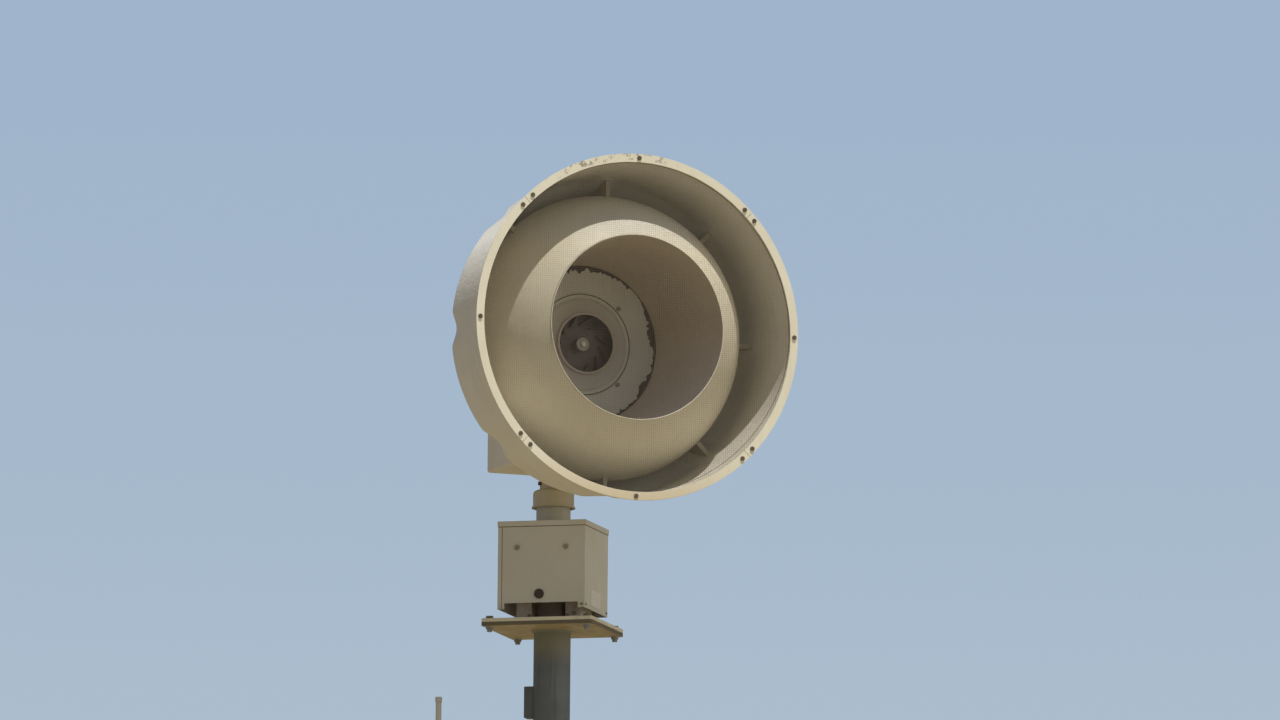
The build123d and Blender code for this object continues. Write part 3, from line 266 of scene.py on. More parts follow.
def add_sun(name, light_from, power, disc, colour):
    """Lamp far away, whose light comes from a direction; returns its object."""
    lamp = bpy.data.lights.new(name, "SUN")
    lamp.energy = power
    lamp.angle = disc
    lamp.color = colour
    holder = bpy.data.objects.new(name, lamp)
    holder.rotation_euler = light_from.to_track_quat("Z", "Y").to_euler()
    bpy.context.scene.collection.objects.link(holder)
    return holder


sun = add_sun("sun", SUN_FROM, SUN_POWER, SUN_DISC, SUN_COLOUR)
add_sun("haze", HAZE_FROM, HAZE_POWER, HAZE_DISC, HAZE_COLOUR)

world = bpy.data.worlds.new("world")
bpy.context.scene.world = world
world.use_nodes = True
sky = world.node_tree
sky.nodes.clear()
ray = put(sky, "ShaderNodeLightPath").outputs
seen = maths(sky, "MAXIMUM", ray["Is Camera Ray"], ray["Is Transmission Ray"])
direction = put(sky, "ShaderNodeTexCoord").outputs["Generated"]
backdrop = blend_colours(sky, span(sky, part(sky, direction, "Z"), *SKY_CLIMB), SKY_LOW, SKY_HIGH)
glow = put(sky, "ShaderNodeBackground", {"Color": blend_colours(sky, seen, SKY_LIGHT, backdrop)})
put(sky, "ShaderNodeOutputWorld", {"Surface": glow.outputs[0]})

floor_paint = bpy.data.materials.new("floor_paint")
floor_paint.use_nodes = True
floor_tree = floor_paint.node_tree
floor_shader = floor_tree.nodes["Principled BSDF"]
floor_shader.inputs["Roughness"].default_value = FLOOR_ROUGH
floor_ray = put(floor_tree, "ShaderNodeLightPath").outputs["Is Camera Ray"]
floor_colour = blend_colours(floor_tree, floor_ray, FLOOR_GIVES, FLOOR_SEEN)
floor_tree.links.new(floor_colour, floor_shader.inputs["Base Color"])

bpy.ops.object.select_all(action="DESELECT")
bpy.ops.mesh.primitive_circle_add(vertices=96, radius=FLOOR_HALF, fill_type="NGON")
floor = bpy.context.object
floor.name = "floor"
floor.data.materials.append(floor_paint)
floor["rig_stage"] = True
print("lamps:", len(bpy.data.lights))

# %% [markdown]
# Old paint is never one colour. Sun and rain bleach some patches and leave others dull, so the first group
# mixes a clean and a dull tone by a cloudy noise. It gives the patches as a mask too, because dull paint is
# also rougher than clean paint.

# %% Group: patchy tone
tree, given, goes_out = start_group(
    "patchy_tone",
    {"Clean": (1, 1, 1, 1), "Dull": (0.5, 0.5, 0.5, 1), "Scale": 4.0, "Dullness": 0.5},
    {"Color": "NodeSocketColor", "Patches": "NodeSocketFloat"},
)
spread = span(tree, clouds(tree, position(tree), given["Scale"], 6.0, 0.62), 0.32, 0.68)
share = times(tree, spread, given["Dullness"])
tree.links.new(blend_colours(tree, share, given["Clean"], given["Dull"]), goes_out["Color"])
tree.links.new(spread, goes_out["Patches"])
patchy_tone = tree

# %% [markdown]
# Edges wear first. A Bevel node gives the normal that a rounded edge would have, so where it differs from
# the true normal there is an edge, on any mesh and with nothing painted by hand. Noise breaks the line up
# into chips.

# %% Group: worn edges
MASK = {"Mask": "NodeSocketFloat"}
tree, given, goes_out = start_group("worn_edges", {"Reach": 0.004, "Scale": 60.0, "Wear": 0.5}, MASK)
rounded = put(tree, "ShaderNodeBevel", {"Radius": given["Reach"]}, samples=4).outputs["Normal"]
straight = put(tree, "ShaderNodeNewGeometry").outputs["Normal"]
edge = span(tree, vectors(tree, "DOT_PRODUCT", rounded, straight)["Value"], 0.995, 0.9)
chips = clouds(tree, position(tree), given["Scale"], 5.0, 0.7)
gone = span(tree, maths(tree, "ADD", given["Wear"], chips), 0.95, 1.05)
tree.links.new(times(tree, edge, gone), goes_out["Mask"])
worn_edges = tree

# %% [markdown]
# Rain carries dirt straight down, in narrow runs. Noise that is squeezed across and stretched along the
# height gives such runs, and a second, larger noise decides where there are any.

# %% Group: rain streaks
tree, given, goes_out = start_group("rain_streaks", {"Across": 40.0, "Along": 2.0, "Amount": 0.5}, MASK)
place = position(tree)
squeeze = put(tree, "ShaderNodeCombineXYZ", {"X": given["Across"], "Y": given["Across"], "Z": given["Along"]})
runs = clouds(tree, vectors(tree, "MULTIPLY", place, squeeze.outputs[0])[0], 1.0, 4.0, 0.6)
narrow = span(tree, runs, 0.5, 0.75)
broad = span(tree, clouds(tree, place, 3.0, 2.0), 0.4, 0.6)
tree.links.new(times(tree, narrow, broad, given["Amount"]), goes_out["Mask"])
rain_streaks = tree

# %% [markdown]
# Dust and grime settle where a face looks up. The Z part of the normal says how level a face is, and a fine
# noise keeps the deposit uneven.

# %% Group: settled dust
tree, given, goes_out = start_group("settled_dust", {"Scale": 20.0, "Amount": 0.5}, MASK)
level = span(tree, upwards(tree), 0.3, 0.95)
grit = span(tree, clouds(tree, position(tree), given["Scale"], 6.0, 0.7), 0.35, 0.65)
tree.links.new(times(tree, level, grit, given["Amount"]), goes_out["Mask"])
settled_dust = tree

# %% [markdown]
# No painted or moulded face is truly flat. This group gives a height made of two noises: broad lumps, as
# hand-laid fibreglass has, and a fine skin, as orange peel in paint. A Bump node in the material turns the
# height into shading.

# %% Group: uneven skin
tree, given, goes_out = start_group(
    "uneven_skin",
    {"Lump Scale": 14.0, "Skin Scale": 180.0, "Skin Share": 0.3},
    {"Height": "NodeSocketFloat"},
)
place = position(tree)
lumps = clouds(tree, place, given["Lump Scale"], 3.0)
fine = times(tree, clouds(tree, place, given["Skin Scale"], 2.0), given["Skin Share"])
tree.links.new(maths(tree, "ADD", lumps, fine), goes_out["Height"])
uneven_skin = tree
print("node groups:", len(bpy.data.node_groups))

# %% [markdown]
# Each finish is one material. They share a start: a clean and a dull tone in patches, streaks and dust
# darkened over it, chips along the edges, and bump from the uneven skin. What differs is given as numbers
# that a painter would name, and a later cell adds the marks that only some finishes have.

# %% Base finish
DULLNESS = 0.7
STREAKS = {"across": 38.0, "along": 2.2}
DUST_SCALE = 24.0
CHIP_SCALE = 70.0
SKIN_SCALE = 220.0
SKIN_SHARE = 0.25


def use(tree, group, **values):
    """Place a node group in a material, with its own values; returns its outputs."""
    placed = put(tree, "ShaderNodeGroup", node_tree=group)
    for name, value in values.items():
        feed(tree, placed.inputs[name.replace("_", " ").title()], value)
    return placed.outputs


def weathered(name, clean, dull, grime, bare, patch_scale=5.0, streaks=0.4, dust=0.3, wear=0.42,
              reach=0.003, rough=(0.5, 0.72), lump_scale=12.0, bump=0.0006, metal=0.0, bare_metal=0.0):
    """Weathered finish in four tones; returns the material."""
    clean, dull, grime, bare = [(*tone, 1) for tone in (clean, dull, grime, bare)]
    material = bpy.data.materials.new(name)
    material.use_nodes = True
    tree = material.node_tree
    shader = tree.nodes["Principled BSDF"].inputs
    tone = use(tree, patchy_tone, clean=clean, dull=dull, scale=patch_scale, dullness=DULLNESS)
    runs = use(tree, rain_streaks, amount=streaks, **STREAKS)["Mask"]
    lying = use(tree, settled_dust, scale=DUST_SCALE, amount=dust)["Mask"]
    chipped = use(tree, worn_edges, reach=reach, scale=CHIP_SCALE, wear=wear)["Mask"]
    dirty = blend_colours(tree, maths(tree, "MAXIMUM", runs, lying), tone["Color"], grime)
    feed(tree, shader["Base Color"], blend_colours(tree, chipped, dirty, bare))
    feed(tree, shader["Roughness"], span(tree, tone["Patches"], 0.0, 1.0, *rough))
    if bare_metal != metal:
        feed(tree, shader["Metallic"], span(tree, chipped, 0.0, 1.0, metal, bare_metal))
    skin = use(tree, uneven_skin, lump_scale=lump_scale, skin_scale=SKIN_SCALE, skin_share=SKIN_SHARE)
    raised = put(tree, "ShaderNodeBump", {"Height": skin["Height"], "Strength": 1.0, "Distance": bump})
    feed(tree, shader["Normal"], raised.outputs["Normal"])
    return material


# %% [markdown]
# The horn is cream gelcoat over glass fibre, chalked by the sun. Inside the intake duct it never got the sun,
# and years of dust make it brown. The box, riser and collar are painted sheet and pipe in creams of their
# own, and the pole is dark grey, brushed on and streaked. The four tones are the clean paint, the dull
# patches, the grime over both, and what shows where an edge is bare.

# %% Finishes
shell_coat = weathered(
    "shell_coat", (0.78, 0.745, 0.67), (0.70, 0.655, 0.565), (0.48, 0.43, 0.34),
    (0.66, 0.61, 0.51), streaks=0.25, dust=0.04, wear=0.30, lump_scale=84.0, bump=0.0013,
)
dome_coat = weathered(
    "dome_coat", (0.77, 0.71, 0.555), (0.705, 0.635, 0.475), (0.44, 0.38, 0.26),
    (0.66, 0.60, 0.48), streaks=0.12, dust=0.08, wear=0.30, lump_scale=18.0, bump=0.0018,
)
duct_coat = weathered(
    "duct_coat", (0.66, 0.57, 0.44), (0.56, 0.48, 0.375), (0.36, 0.29, 0.235),
    (0.72, 0.67, 0.55), streaks=0.25, dust=0.35, wear=0.30, lump_scale=12.0, bump=0.0015,
)
rim_coat = weathered(
    "rim_coat", (0.87, 0.83, 0.675), (0.80, 0.755, 0.59), (0.50, 0.43, 0.31),
    (0.42, 0.38, 0.29), streaks=0.20, dust=0.06, wear=0.40, bump=0.0008,
)
cream_coat = weathered(
    "cream_coat", (0.66, 0.64, 0.555), (0.585, 0.56, 0.47), (0.32, 0.28, 0.21),
    (0.24, 0.17, 0.11), streaks=0.22, dust=0.30, wear=0.40, bump=0.0004,
)
riser_coat = weathered(
    "riser_coat", (0.60, 0.57, 0.46), (0.52, 0.49, 0.39), (0.28, 0.24, 0.17),
    (0.24, 0.17, 0.11), streaks=0.5, dust=0.30, wear=0.40, bump=0.0004,
)
collar_coat = weathered(
    "collar_coat", (0.57, 0.51, 0.36), (0.50, 0.44, 0.30), (0.28, 0.23, 0.145),
    (0.24, 0.17, 0.11), streaks=0.3, dust=0.30, wear=0.40, bump=0.0004,
)
housing_coat = weathered(
    "housing_coat", (0.784, 0.736, 0.636), (0.672, 0.621, 0.516), (0.36, 0.30, 0.21),
    (0.24, 0.17, 0.11), streaks=0.30, dust=0.30, wear=0.42, bump=0.0004,
)
bracket_coat = weathered(
    "bracket_coat", (0.80, 0.70, 0.60), (0.62, 0.52, 0.43), (0.24, 0.16, 0.11),
    (0.16, 0.09, 0.05), streaks=0.5, dust=0.4, wear=0.45, patch_scale=20.0, bump=0.0005,
)
pole_coat = weathered(
    "pole_coat", (0.148, 0.163, 0.176), (0.103, 0.115, 0.124), (0.058, 0.062, 0.060),
    (0.20, 0.14, 0.09), streaks=0.75, dust=0.3, wear=0.38, patch_scale=9.0, bump=0.0006,
)
plate_coat = weathered(
    "plate_coat", (0.74, 0.70, 0.54), (0.62, 0.57, 0.41), (0.24, 0.18, 0.11),
    (0.20, 0.13, 0.08), streaks=0.3, dust=0.4, wear=0.38, reach=0.004, patch_scale=14.0, bump=0.0008,
)
rusty_plate = weathered(
    "rusty_plate", (0.42, 0.345, 0.21), (0.30, 0.225, 0.13), (0.11, 0.075, 0.045),
    (0.09, 0.055, 0.035), streaks=0.5, dust=0.4, wear=0.62, reach=0.009, patch_scale=16.0, bump=0.001,
)
cast_alloy = weathered(
    "cast_alloy", (0.78, 0.76, 0.69), (0.69, 0.665, 0.59), (0.42, 0.38, 0.31),
    (0.70, 0.68, 0.62), streaks=0.3, dust=0.3, wear=0.38, metal=0.1, bare_metal=0.4, bump=0.0008,
)
rotor_alloy = weathered(
    "rotor_alloy", (0.20, 0.165, 0.155), (0.15, 0.12, 0.112), (0.09, 0.07, 0.062),
    (0.24, 0.21, 0.19), streaks=0.2, dust=0.2, wear=0.42, metal=0.25, bare_metal=0.7, patch_scale=30.0,
    bump=0.0006,
)
bolt_steel = weathered(
    "bolt_steel", (0.16, 0.13, 0.10), (0.10, 0.065, 0.04), (0.05, 0.035, 0.025),
    (0.35, 0.32, 0.28), streaks=0.3, wear=0.4, reach=0.0015, metal=0.45, bare_metal=0.9,
    patch_scale=60.0, bump=0.0003,
)
zinc_steel = weathered(
    "zinc_steel", (0.52, 0.52, 0.51), (0.38, 0.37, 0.35), (0.16, 0.14, 0.11),
    (0.62, 0.61, 0.58), streaks=0.2, wear=0.4, reach=0.0015, metal=0.55, bare_metal=0.8,
    patch_scale=50.0, bump=0.0003,
)
painted_steel = weathered(
    "painted_steel", (0.34, 0.305, 0.20), (0.23, 0.195, 0.12), (0.10, 0.075, 0.05),
    (0.10, 0.065, 0.04), streaks=0.3, wear=0.46, reach=0.002, patch_scale=60.0, bump=0.0003,
)
dark_plug = weathered(
    "dark_plug", (0.045, 0.032, 0.024), (0.075, 0.055, 0.042), (0.10, 0.085, 0.06),
    (0.09, 0.07, 0.055), rough=(0.35, 0.6), wear=0.36, reach=0.0015, patch_scale=40.0, bump=0.0003,
)
old_sealant = weathered(
    "old_sealant", (0.075, 0.052, 0.042), (0.13, 0.095, 0.07), (0.05, 0.035, 0.028),
    (0.12, 0.09, 0.07), rough=(0.7, 0.9), wear=0.36, patch_scale=70.0, lump_scale=90.0, bump=0.0015,
)
screen_wire = weathered(
    "screen_wire", (0.26, 0.235, 0.19), (0.19, 0.17, 0.135), (0.11, 0.09, 0.07),
    (0.26, 0.235, 0.19), streaks=0.2, dust=0.2, wear=0.1, patch_scale=10.0, bump=0.0001,
)
vane_coat = weathered(
    "vane_coat", (0.42, 0.375, 0.29), (0.34, 0.30, 0.225), (0.24, 0.20, 0.14),
    (0.36, 0.32, 0.25), streaks=0.3, dust=0.3, wear=0.30, lump_scale=30.0, bump=0.0012,
)
# Dark tone for the thin wavy bead inside the shell's mouth.
dark_wavy_bead = weathered(
    "dark_wavy_bead", (0.30, 0.235, 0.155), (0.20, 0.15, 0.10), (0.08, 0.055, 0.04),
    (0.20, 0.16, 0.11), rough=(0.7, 0.9), wear=0.36, patch_scale=40.0, lump_scale=90.0, bump=0.001,
)
alloy_with_painted_glint = weathered(
    "alloy_with_painted_glint", (0.62, 0.555, 0.475), (0.52, 0.455, 0.39), (0.38, 0.32, 0.26),
    (0.80, 0.76, 0.70), streaks=0.2, dust=0.2, wear=0.40, metal=0.15, bare_metal=0.5, bump=0.0004,
)
grey_nuts = weathered(
    "grey_nuts", (0.24, 0.215, 0.15), (0.16, 0.135, 0.09), (0.08, 0.06, 0.04),
    (0.12, 0.085, 0.055), streaks=0.3, wear=0.42, reach=0.0015, metal=0.1, patch_scale=60.0, bump=0.0003,
)
antenna_white = weathered(
    "antenna_white", (0.62, 0.62, 0.57), (0.50, 0.49, 0.43), (0.24, 0.22, 0.18),
    (0.40, 0.38, 0.33), streaks=0.4, dust=0.3, patch_scale=12.0, bump=0.0003,
)

# %% [markdown]
# Some finishes carry marks that belong to one place. A mask says where, from the height, the distance from
# the horn's axis or the way a face looks, and a second colour is mixed over whatever already reaches the
# Base Color socket. So the rim's top has lost paint in chips and the rim is darker and warmer towards its
# foot, the shell's upper flank is painted paler as painted sunlight, dust lies on level paint, the duct is
# greyer below, the cone is darker round the inlet, the rotor's hub is pale, and the nuts under the plates
# have their own tone. A painted highlight brightens the rotor's nut, the pole's top is paler as a painted
# reflection of the plates above it, and the riser's foot is darker as painted shade under the box. Dark
# lines stand for the shadows at the back plate's bead, the box lid and a folded hem, and the upright sides
# of the rusty plate are darker than its faces, as painted shade.

# %% Marks on some finishes
LID_GAP = 0.0015
CREASE_R = 0.1565
BOX_HALF = 0.1415
HEM = 0.015


def overlay(finish, colour, *masks):
    """Mix a colour over a finish where all the masks say so."""
    tree = finish.node_tree
    target = tree.nodes["Principled BSDF"].inputs["Base Color"]
    below = target.links[0].from_socket
    tree.links.new(blend_colours(tree, times(tree, *masks), below, (*colour, 1)), target)


def height(tree):
    """Height above the ground; returns the value socket."""
    return part(tree, position(tree), "Z")


def off_axis(tree):
    """Distance from the horn's axis; returns the value socket."""
    moved = vectors(tree, "SUBTRACT", position(tree), (0, 0, HORN_Z))[0]
    return vectors(tree, "LENGTH", vectors(tree, "MULTIPLY", moved, (1, 0, 1))[0])["Value"]


def near(tree, value, place, far, close):
    """Mask of a line: one where a value is at a place, and none a little way off."""
    return span(tree, maths(tree, "ABSOLUTE", maths(tree, "SUBTRACT", value, place)), far, close)


tree = rim_coat.node_tree
outermost = span(tree, off_axis(tree), RIM_OUTER_R - 0.022, RIM_OUTER_R - 0.016)
topmost = span(tree, height(tree), HORN_Z + 0.42, HORN_Z + 0.48)
leftward = span(tree, part(tree, position(tree), "X"), 0.14, 0.04)
flaked = span(tree, clouds(tree, position(tree), 30.0, 4.0, 0.75), 0.53, 0.57)
overlay(rim_coat, (0.37, 0.34, 0.27), outermost, topmost, leftward, flaked)

tree = shell_coat.node_tree
# Painted light: the shell's upper flank is painted much paler, where the sun falls on it.
painted_sunlit_flank = span(tree, upwards(tree), 0.12, 0.50, 0.0, 0.9)
overlay(shell_coat, (0.95, 0.935, 0.875), painted_sunlit_flank, span(tree, height(tree), HORN_Z + 0.02, HORN_Z + 0.16))

# Each row: the finish, what the mask follows, where it starts, where it is full, how full, the colour
DUSTY = (0.62, 0.59, 0.51)
MARKS = [
    # The rim is darker and warmer towards its foot.
    (rim_coat, height, HORN_Z - 0.40, HORN_Z - 0.54, 0.8, (0.66, 0.55, 0.36)),
    (shell_coat, upwards, 0.54, 0.76, 1.0, DUSTY),
    (rim_coat, upwards, 0.54, 0.76, 1.0, DUSTY),
    (dome_coat, upwards, 0.54, 0.76, 1.0, DUSTY),
    (vane_coat, upwards, 0.54, 0.76, 1.0, DUSTY),
    (housing_coat, upwards, 0.54, 0.76, 1.0, DUSTY),
    (cream_coat, upwards, 0.54, 0.76, 1.0, DUSTY),
    (duct_coat, height, HORN_Z + 0.06, HORN_Z - 0.18, 0.8, (0.76, 0.69, 0.645)),
    # Painted highlight: the rotor's nut, within about two centimetres of the axis, is painted bright.
    (alloy_with_painted_glint, off_axis, 0.022, 0.018, 1.0, (0.80, 0.84, 0.76)),
    (rotor_alloy, off_axis, 0.0225, 0.0205, 1.0, (0.44, 0.44, 0.39)),
    # The cone is darker round the inlet.
    (cast_alloy, off_axis, 0.146, 0.095, 0.55, (0.46, 0.40, 0.345)),
    # Painted reflection: the pole's top, just under the plates, is painted paler for light reflected from
    # them.
    (pole_coat, height, PLATES_UNDER - 0.11, PLATES_UNDER - 0.05, 1.0, (0.215, 0.215, 0.165)),
    (grey_nuts, height, PLATES_UNDER + 0.001, PLATES_UNDER, 1.0, (0.26, 0.26, 0.25)),
    # Painted shade: the riser's foot, in the shade under the box, is painted dark.
    (riser_coat, height, DECK_Z + 0.085, DECK_Z + 0.060, 1.0, (0.20, 0.15, 0.115)),
]
for finish, follows, start, full, most, colour in MARKS:
    overlay(finish, colour, span(finish.node_tree, follows(finish.node_tree), start, full, 0.0, most))

# Each row: the finish, what the line follows, where it lies, where it ends, where it is full, the colour
LINES = [
    (cast_alloy, off_axis, CREASE_R, 0.0022, 0.0008, (0.14, 0.12, 0.085)),
    # Painted shade: the upright sides of the lower plate are painted darker than its faces.
    (rusty_plate, upwards, 0.0, 0.6, 0.3, (0.15, 0.125, 0.075)),
    (cream_coat, height, LID_LOW - LID_GAP, 0.0016, 0.0008, (0.17, 0.14, 0.10)),
]
for finish, follows, place, far, close, colour in LINES:
    overlay(finish, colour, near(finish.node_tree, follows(finish.node_tree), place, far, close))

tree = cream_coat.node_tree
turned_by = {"Vector": position(tree), "Angle": -DECK_TURN}
squared = put(tree, "ShaderNodeVectorRotate", turned_by, rotation_type="Z_AXIS").outputs[0]
at_hem = near(tree, part(tree, squared, "X"), HEM - BOX_HALF, 0.0018, 0.0006)
overlay(cream_coat, (0.26, 0.225, 0.165), at_hem, span(tree, height(tree), LID_LOW, LID_LOW - LID_GAP))
print("marks:", len(MARKS) + len(LINES) + 3)

# %% [markdown]
# A solid from the CAD has knife edges and loose triangles. Real folded sheet, cast plate and cut pipe
# have small round edges that catch a line of light. So most solids get a copy: its triangles are merged and
# its flat faces joined, a small bevel is cut along the sharp edges, and the round faces are shaded smooth.
# The copy then stands for the solid.

# %% Softened copies
MERGE = 0.00001
FLAT_WITHIN = radians(0.4)
SHARP_OVER = radians(30)
SMOOTH_UNDER = radians(35)
EDGE_SEGMENTS = 2


def only(piece):
    """Select one object, and nothing else."""
    bpy.ops.object.select_all(action="DESELECT")
    piece.select_set(True)
    bpy.context.view_layer.objects.active = piece


def dress(piece, finish, body):
    """Give a piece its finish and the body that it rides on."""
    piece.data.materials.clear()
    piece.data.materials.append(finish)
    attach(piece, body)


def softened(node, finish, width):
    """Copy of a solid with rounded edges, which stands for it."""
    solid = nodes[node]
    only(solid)
    bpy.ops.object.duplicate()
    piece = bpy.context.object
    piece.name = node + "_soft"
    if "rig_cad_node" in piece:
        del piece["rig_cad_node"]
    piece.parent = None
    only(piece)
    bpy.ops.object.mode_set(mode="EDIT")
    bpy.ops.mesh.select_all(action="SELECT")
    bpy.ops.mesh.customdata_custom_splitnormals_clear()
    bpy.ops.mesh.remove_doubles(threshold=MERGE)
    bpy.ops.mesh.dissolve_limited(angle_limit=FLAT_WITHIN)
    bpy.ops.object.mode_set(mode="OBJECT")
    if width:
        edge = piece.modifiers.new("round_edges", "BEVEL")
        edge.width = width
        edge.segments = EDGE_SEGMENTS
        edge.limit_method = "ANGLE"
        edge.angle_limit = SHARP_OVER
        edge.use_clamp_overlap = True
        bpy.ops.object.modifier_apply(modifier=edge.name)
    bpy.ops.object.shade_smooth_by_angle(angle=SMOOTH_UNDER)
    even = piece.modifiers.new("even_shading", "WEIGHTED_NORMAL")
    even.keep_sharp = True
    bpy.ops.object.modifier_apply(modifier=even.name)
    dress(piece, finish, solid["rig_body"])
    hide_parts(node)


FINISHES = {
    "base_flange": (pole_coat, 0.0015), "base_gussets": (pole_coat, 0.001),
    "pole_lower": (pole_coat, 0.001), "lower_reducer": (pole_coat, 0.001),
    "pole_middle": (pole_coat, 0.001), "upper_reducer": (pole_coat, 0.001),
    "pole_upper": (pole_coat, 0.001), "handhole_cover": (pole_coat, 0.001),
    "pole_side_box": (pole_coat, 0.001), "antenna_arm": (pole_coat, 0.001),
    "antenna_bands": (bolt_steel, 0.0005), "antenna_whip": (antenna_white, 0.001),
    "pole_top_plate": (rusty_plate, 0.001), "siren_base_plate": (plate_coat, 0.001),
    "plate_bolts": (grey_nuts, 0.0006), "riser_pipe": (riser_coat, 0.001),
    "riser_bearings": (cast_alloy, 0.0005), "box_frame": (bracket_coat, 0.0005),
    "box_walls": (cream_coat, 0.0006), "box_lid": (cream_coat, 0.0007),
    "box_bolts": (painted_steel, 0.0006), "hole_plug": (dark_plug, 0.0012),
    "rating_plate": (cast_alloy, 0.0003), "turn_shaft": (cast_alloy, 0.0005),
    "collar": (collar_coat, 0.0012), "neck_ring": (collar_coat, 0.0008),
    "neck_bolts": (bolt_steel, 0.0006), "rear_housing": (housing_coat, 0.0006),
    "rear_cover": (housing_coat, 0.0007), "cover_screws": (painted_steel, 0.0006),
    "stator": (cast_alloy, 0.001), "vanes": (vane_coat, 0.002), "rim_screws": (bolt_steel, 0.0008),
    "rim_segment_left": (rim_coat, 0.0008), "rim_segment_top": (rim_coat, 0.0008),
    "rim_segment_right": (rim_coat, 0.0008), "rim_segment_bottom": (rim_coat, 0.0008),
    "back_plate_bolts": (painted_steel, 0.0006), "inlet_ring": (alloy_with_painted_glint, 0.0),
    "rotor": (rotor_alloy, 0.0008), "rotor_nut": (alloy_with_painted_glint, 0.0006),
}
for node, (finish, width) in FINISHES.items():
    softened(node, finish, width)
print("softened copies:", len(FINISHES))

# %% [markdown]
# The horn's four big round pieces are drawn anew, because the solids show their facets in low light. Each is
# a closed outline in the half plane through the axis, given as depth behind the rim and distance from the
# axis. A circle primitive has as many points as the outline, its points are put on it, and one spin round
# the axis makes the piece. The helpers here give points on an arc and do the spin.

# %% Turned pieces
AXIS = Vector((0, RIM_Y, HORN_Z))


def arc_points(centre, radius, start, end, count):
    """Points of an arc, with its angles in degrees from straight out towards the rear."""
    angles = [radians(start + (end - start) * step / count) for step in range(count + 1)]
    return [(centre[0] + radius * sin(angle), centre[1] + radius * cos(angle)) for angle in angles]


def line_points(start, end, count):
    """Points along a straight run, without its last point."""
    return [tuple(a + (b - a) * step / count for a, b in zip(start, end)) for step in range(count)]


def turned(name, outline, steps, inside=(), centre=AXIS, axis=(0, 1, 0), out_from=(0, 0, 1)):
    """Ring about an axis, spun from its closed outline; the inside's points form a vertex group."""
    bpy.ops.object.select_all(action="DESELECT")
    bpy.ops.mesh.primitive_circle_add(vertices=len(outline), radius=0.01, fill_type="NOTHING")
    piece = bpy.context.object
    piece.name = name
    for vertex, (along, out) in zip(piece.data.vertices, outline):
        vertex.co = Vector(centre) + along * Vector(axis) + out * Vector(out_from)
    if inside:
        piece.vertex_groups.new(name="inside").add(list(inside), 1.0, "REPLACE")
    bpy.ops.object.mode_set(mode="EDIT")
    bpy.ops.mesh.select_all(action="SELECT")
    bpy.ops.mesh.spin(steps=steps, angle=tau, center=centre, axis=axis)
    bpy.ops.mesh.select_all(action="SELECT")
    bpy.ops.mesh.remove_doubles(threshold=2 * MERGE)
    bpy.ops.mesh.normals_make_consistent(inside=False)
    bpy.ops.object.mode_set(mode="OBJECT")
    return piece


def finish_turned(piece, finish, body, node=None, smooth=35.0):
    """Smooth a turned piece, dress it and let it stand for its node."""
    only(piece)
    bpy.ops.object.shade_smooth_by_angle(angle=radians(smooth))
    dress(piece, finish, body)
    if node:
        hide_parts(node)
    print(piece.name, "faces:", len(piece.data.polygons))


# %% [markdown]
# The outer shell is laid up in a mould: a flange at the mouth that the rim is screwed to, a side with a
# slight taper, a round corner and a wide round back. Its outline runs back along the outside, turns at the
# tail, and comes forward along the inside, six millimetres in. Points of the inside are kept in a vertex
# group, which the spin copies, so that later steps can tell the two skins apart.

# %% Outer shell: outline and spin
FLANGE_D = (0.0046, 0.0116)
FLANGE_R = 0.535
SIDE_TURN = 3.773
CORNER_TURN = 30.0
CORNER = (0.27408, 0.4075)
CORNER_R = 0.09
BACK = (0.15558, 0.20225)
BACK_R = 0.327
WALL = 0.006
TAIL_R = 0.2523
COVE_R = 0.005
SIDE_END_D = 0.280
SIDE_TAPER = 0.06594
EDGE = 0.001
side_front = CORNER[1] + CORNER_R * cos(radians(SIDE_TURN)) + (SIDE_END_D - FLANGE_D[1]) * SIDE_TAPER


def skin_points(inset):
    """Outline of one skin from the waist to the tail."""
    tail_turn = degrees(atan2(sqrt((BACK_R - inset) ** 2 - (TAIL_R - BACK[1]) ** 2), TAIL_R - BACK[1]))
    corner = arc_points(CORNER, CORNER_R - inset, SIDE_TURN, CORNER_TURN, 8)
    return corner[:-1] + arc_points(BACK, BACK_R - inset, CORNER_TURN, tail_turn, 40)


outer = skin_points(0)
inner = skin_points(WALL)
cove = arc_points((FLANGE_D[1] + COVE_R, side_front + COVE_R - 0.0003), COVE_R, 270, 180, 4)
flange = [
    (FLANGE_D[0], FLANGE_R - EDGE), (FLANGE_D[0] + EDGE, FLANGE_R), (FLANGE_D[1] - EDGE, FLANGE_R),
    (FLANGE_D[1], FLANGE_R - EDGE),
]
side = line_points(cove[-1], outer[0], 24)[1:]
mouth = (FLANGE_D[0], side_front + 0.0005 - WALL)
inner_side = line_points(mouth, inner[0], 24)
INNER_TAPER = (mouth[1] - inner[0][1]) / (inner[0][0] - mouth[0])
outside = flange + cove + side + outer
inside = inner[::-1] + inner_side[::-1]

SHELL_STEPS = 384
inside_numbers = range(len(outside), len(outside) + len(inside))
shell = turned("horn_shell", outside + inside, SHELL_STEPS, inside_numbers)
print("shell outline points:", len(outside + inside))

# %% [markdown]
# Eight flutes are pressed into the rear corner, which stiffens it. Each is the mark of a round bar that lies
# along a wide arc behind the corner. For every point near a flute, the depth under the bar's surface is
# worked out in the flute's own plane, and a smooth minimum joins it to the shell, so that the shoulders of
# the flute are round, as a mould makes them. A slow noise then lifts the outer skin out of true by less
# than a millimetre, as hand-laid fibreglass is.

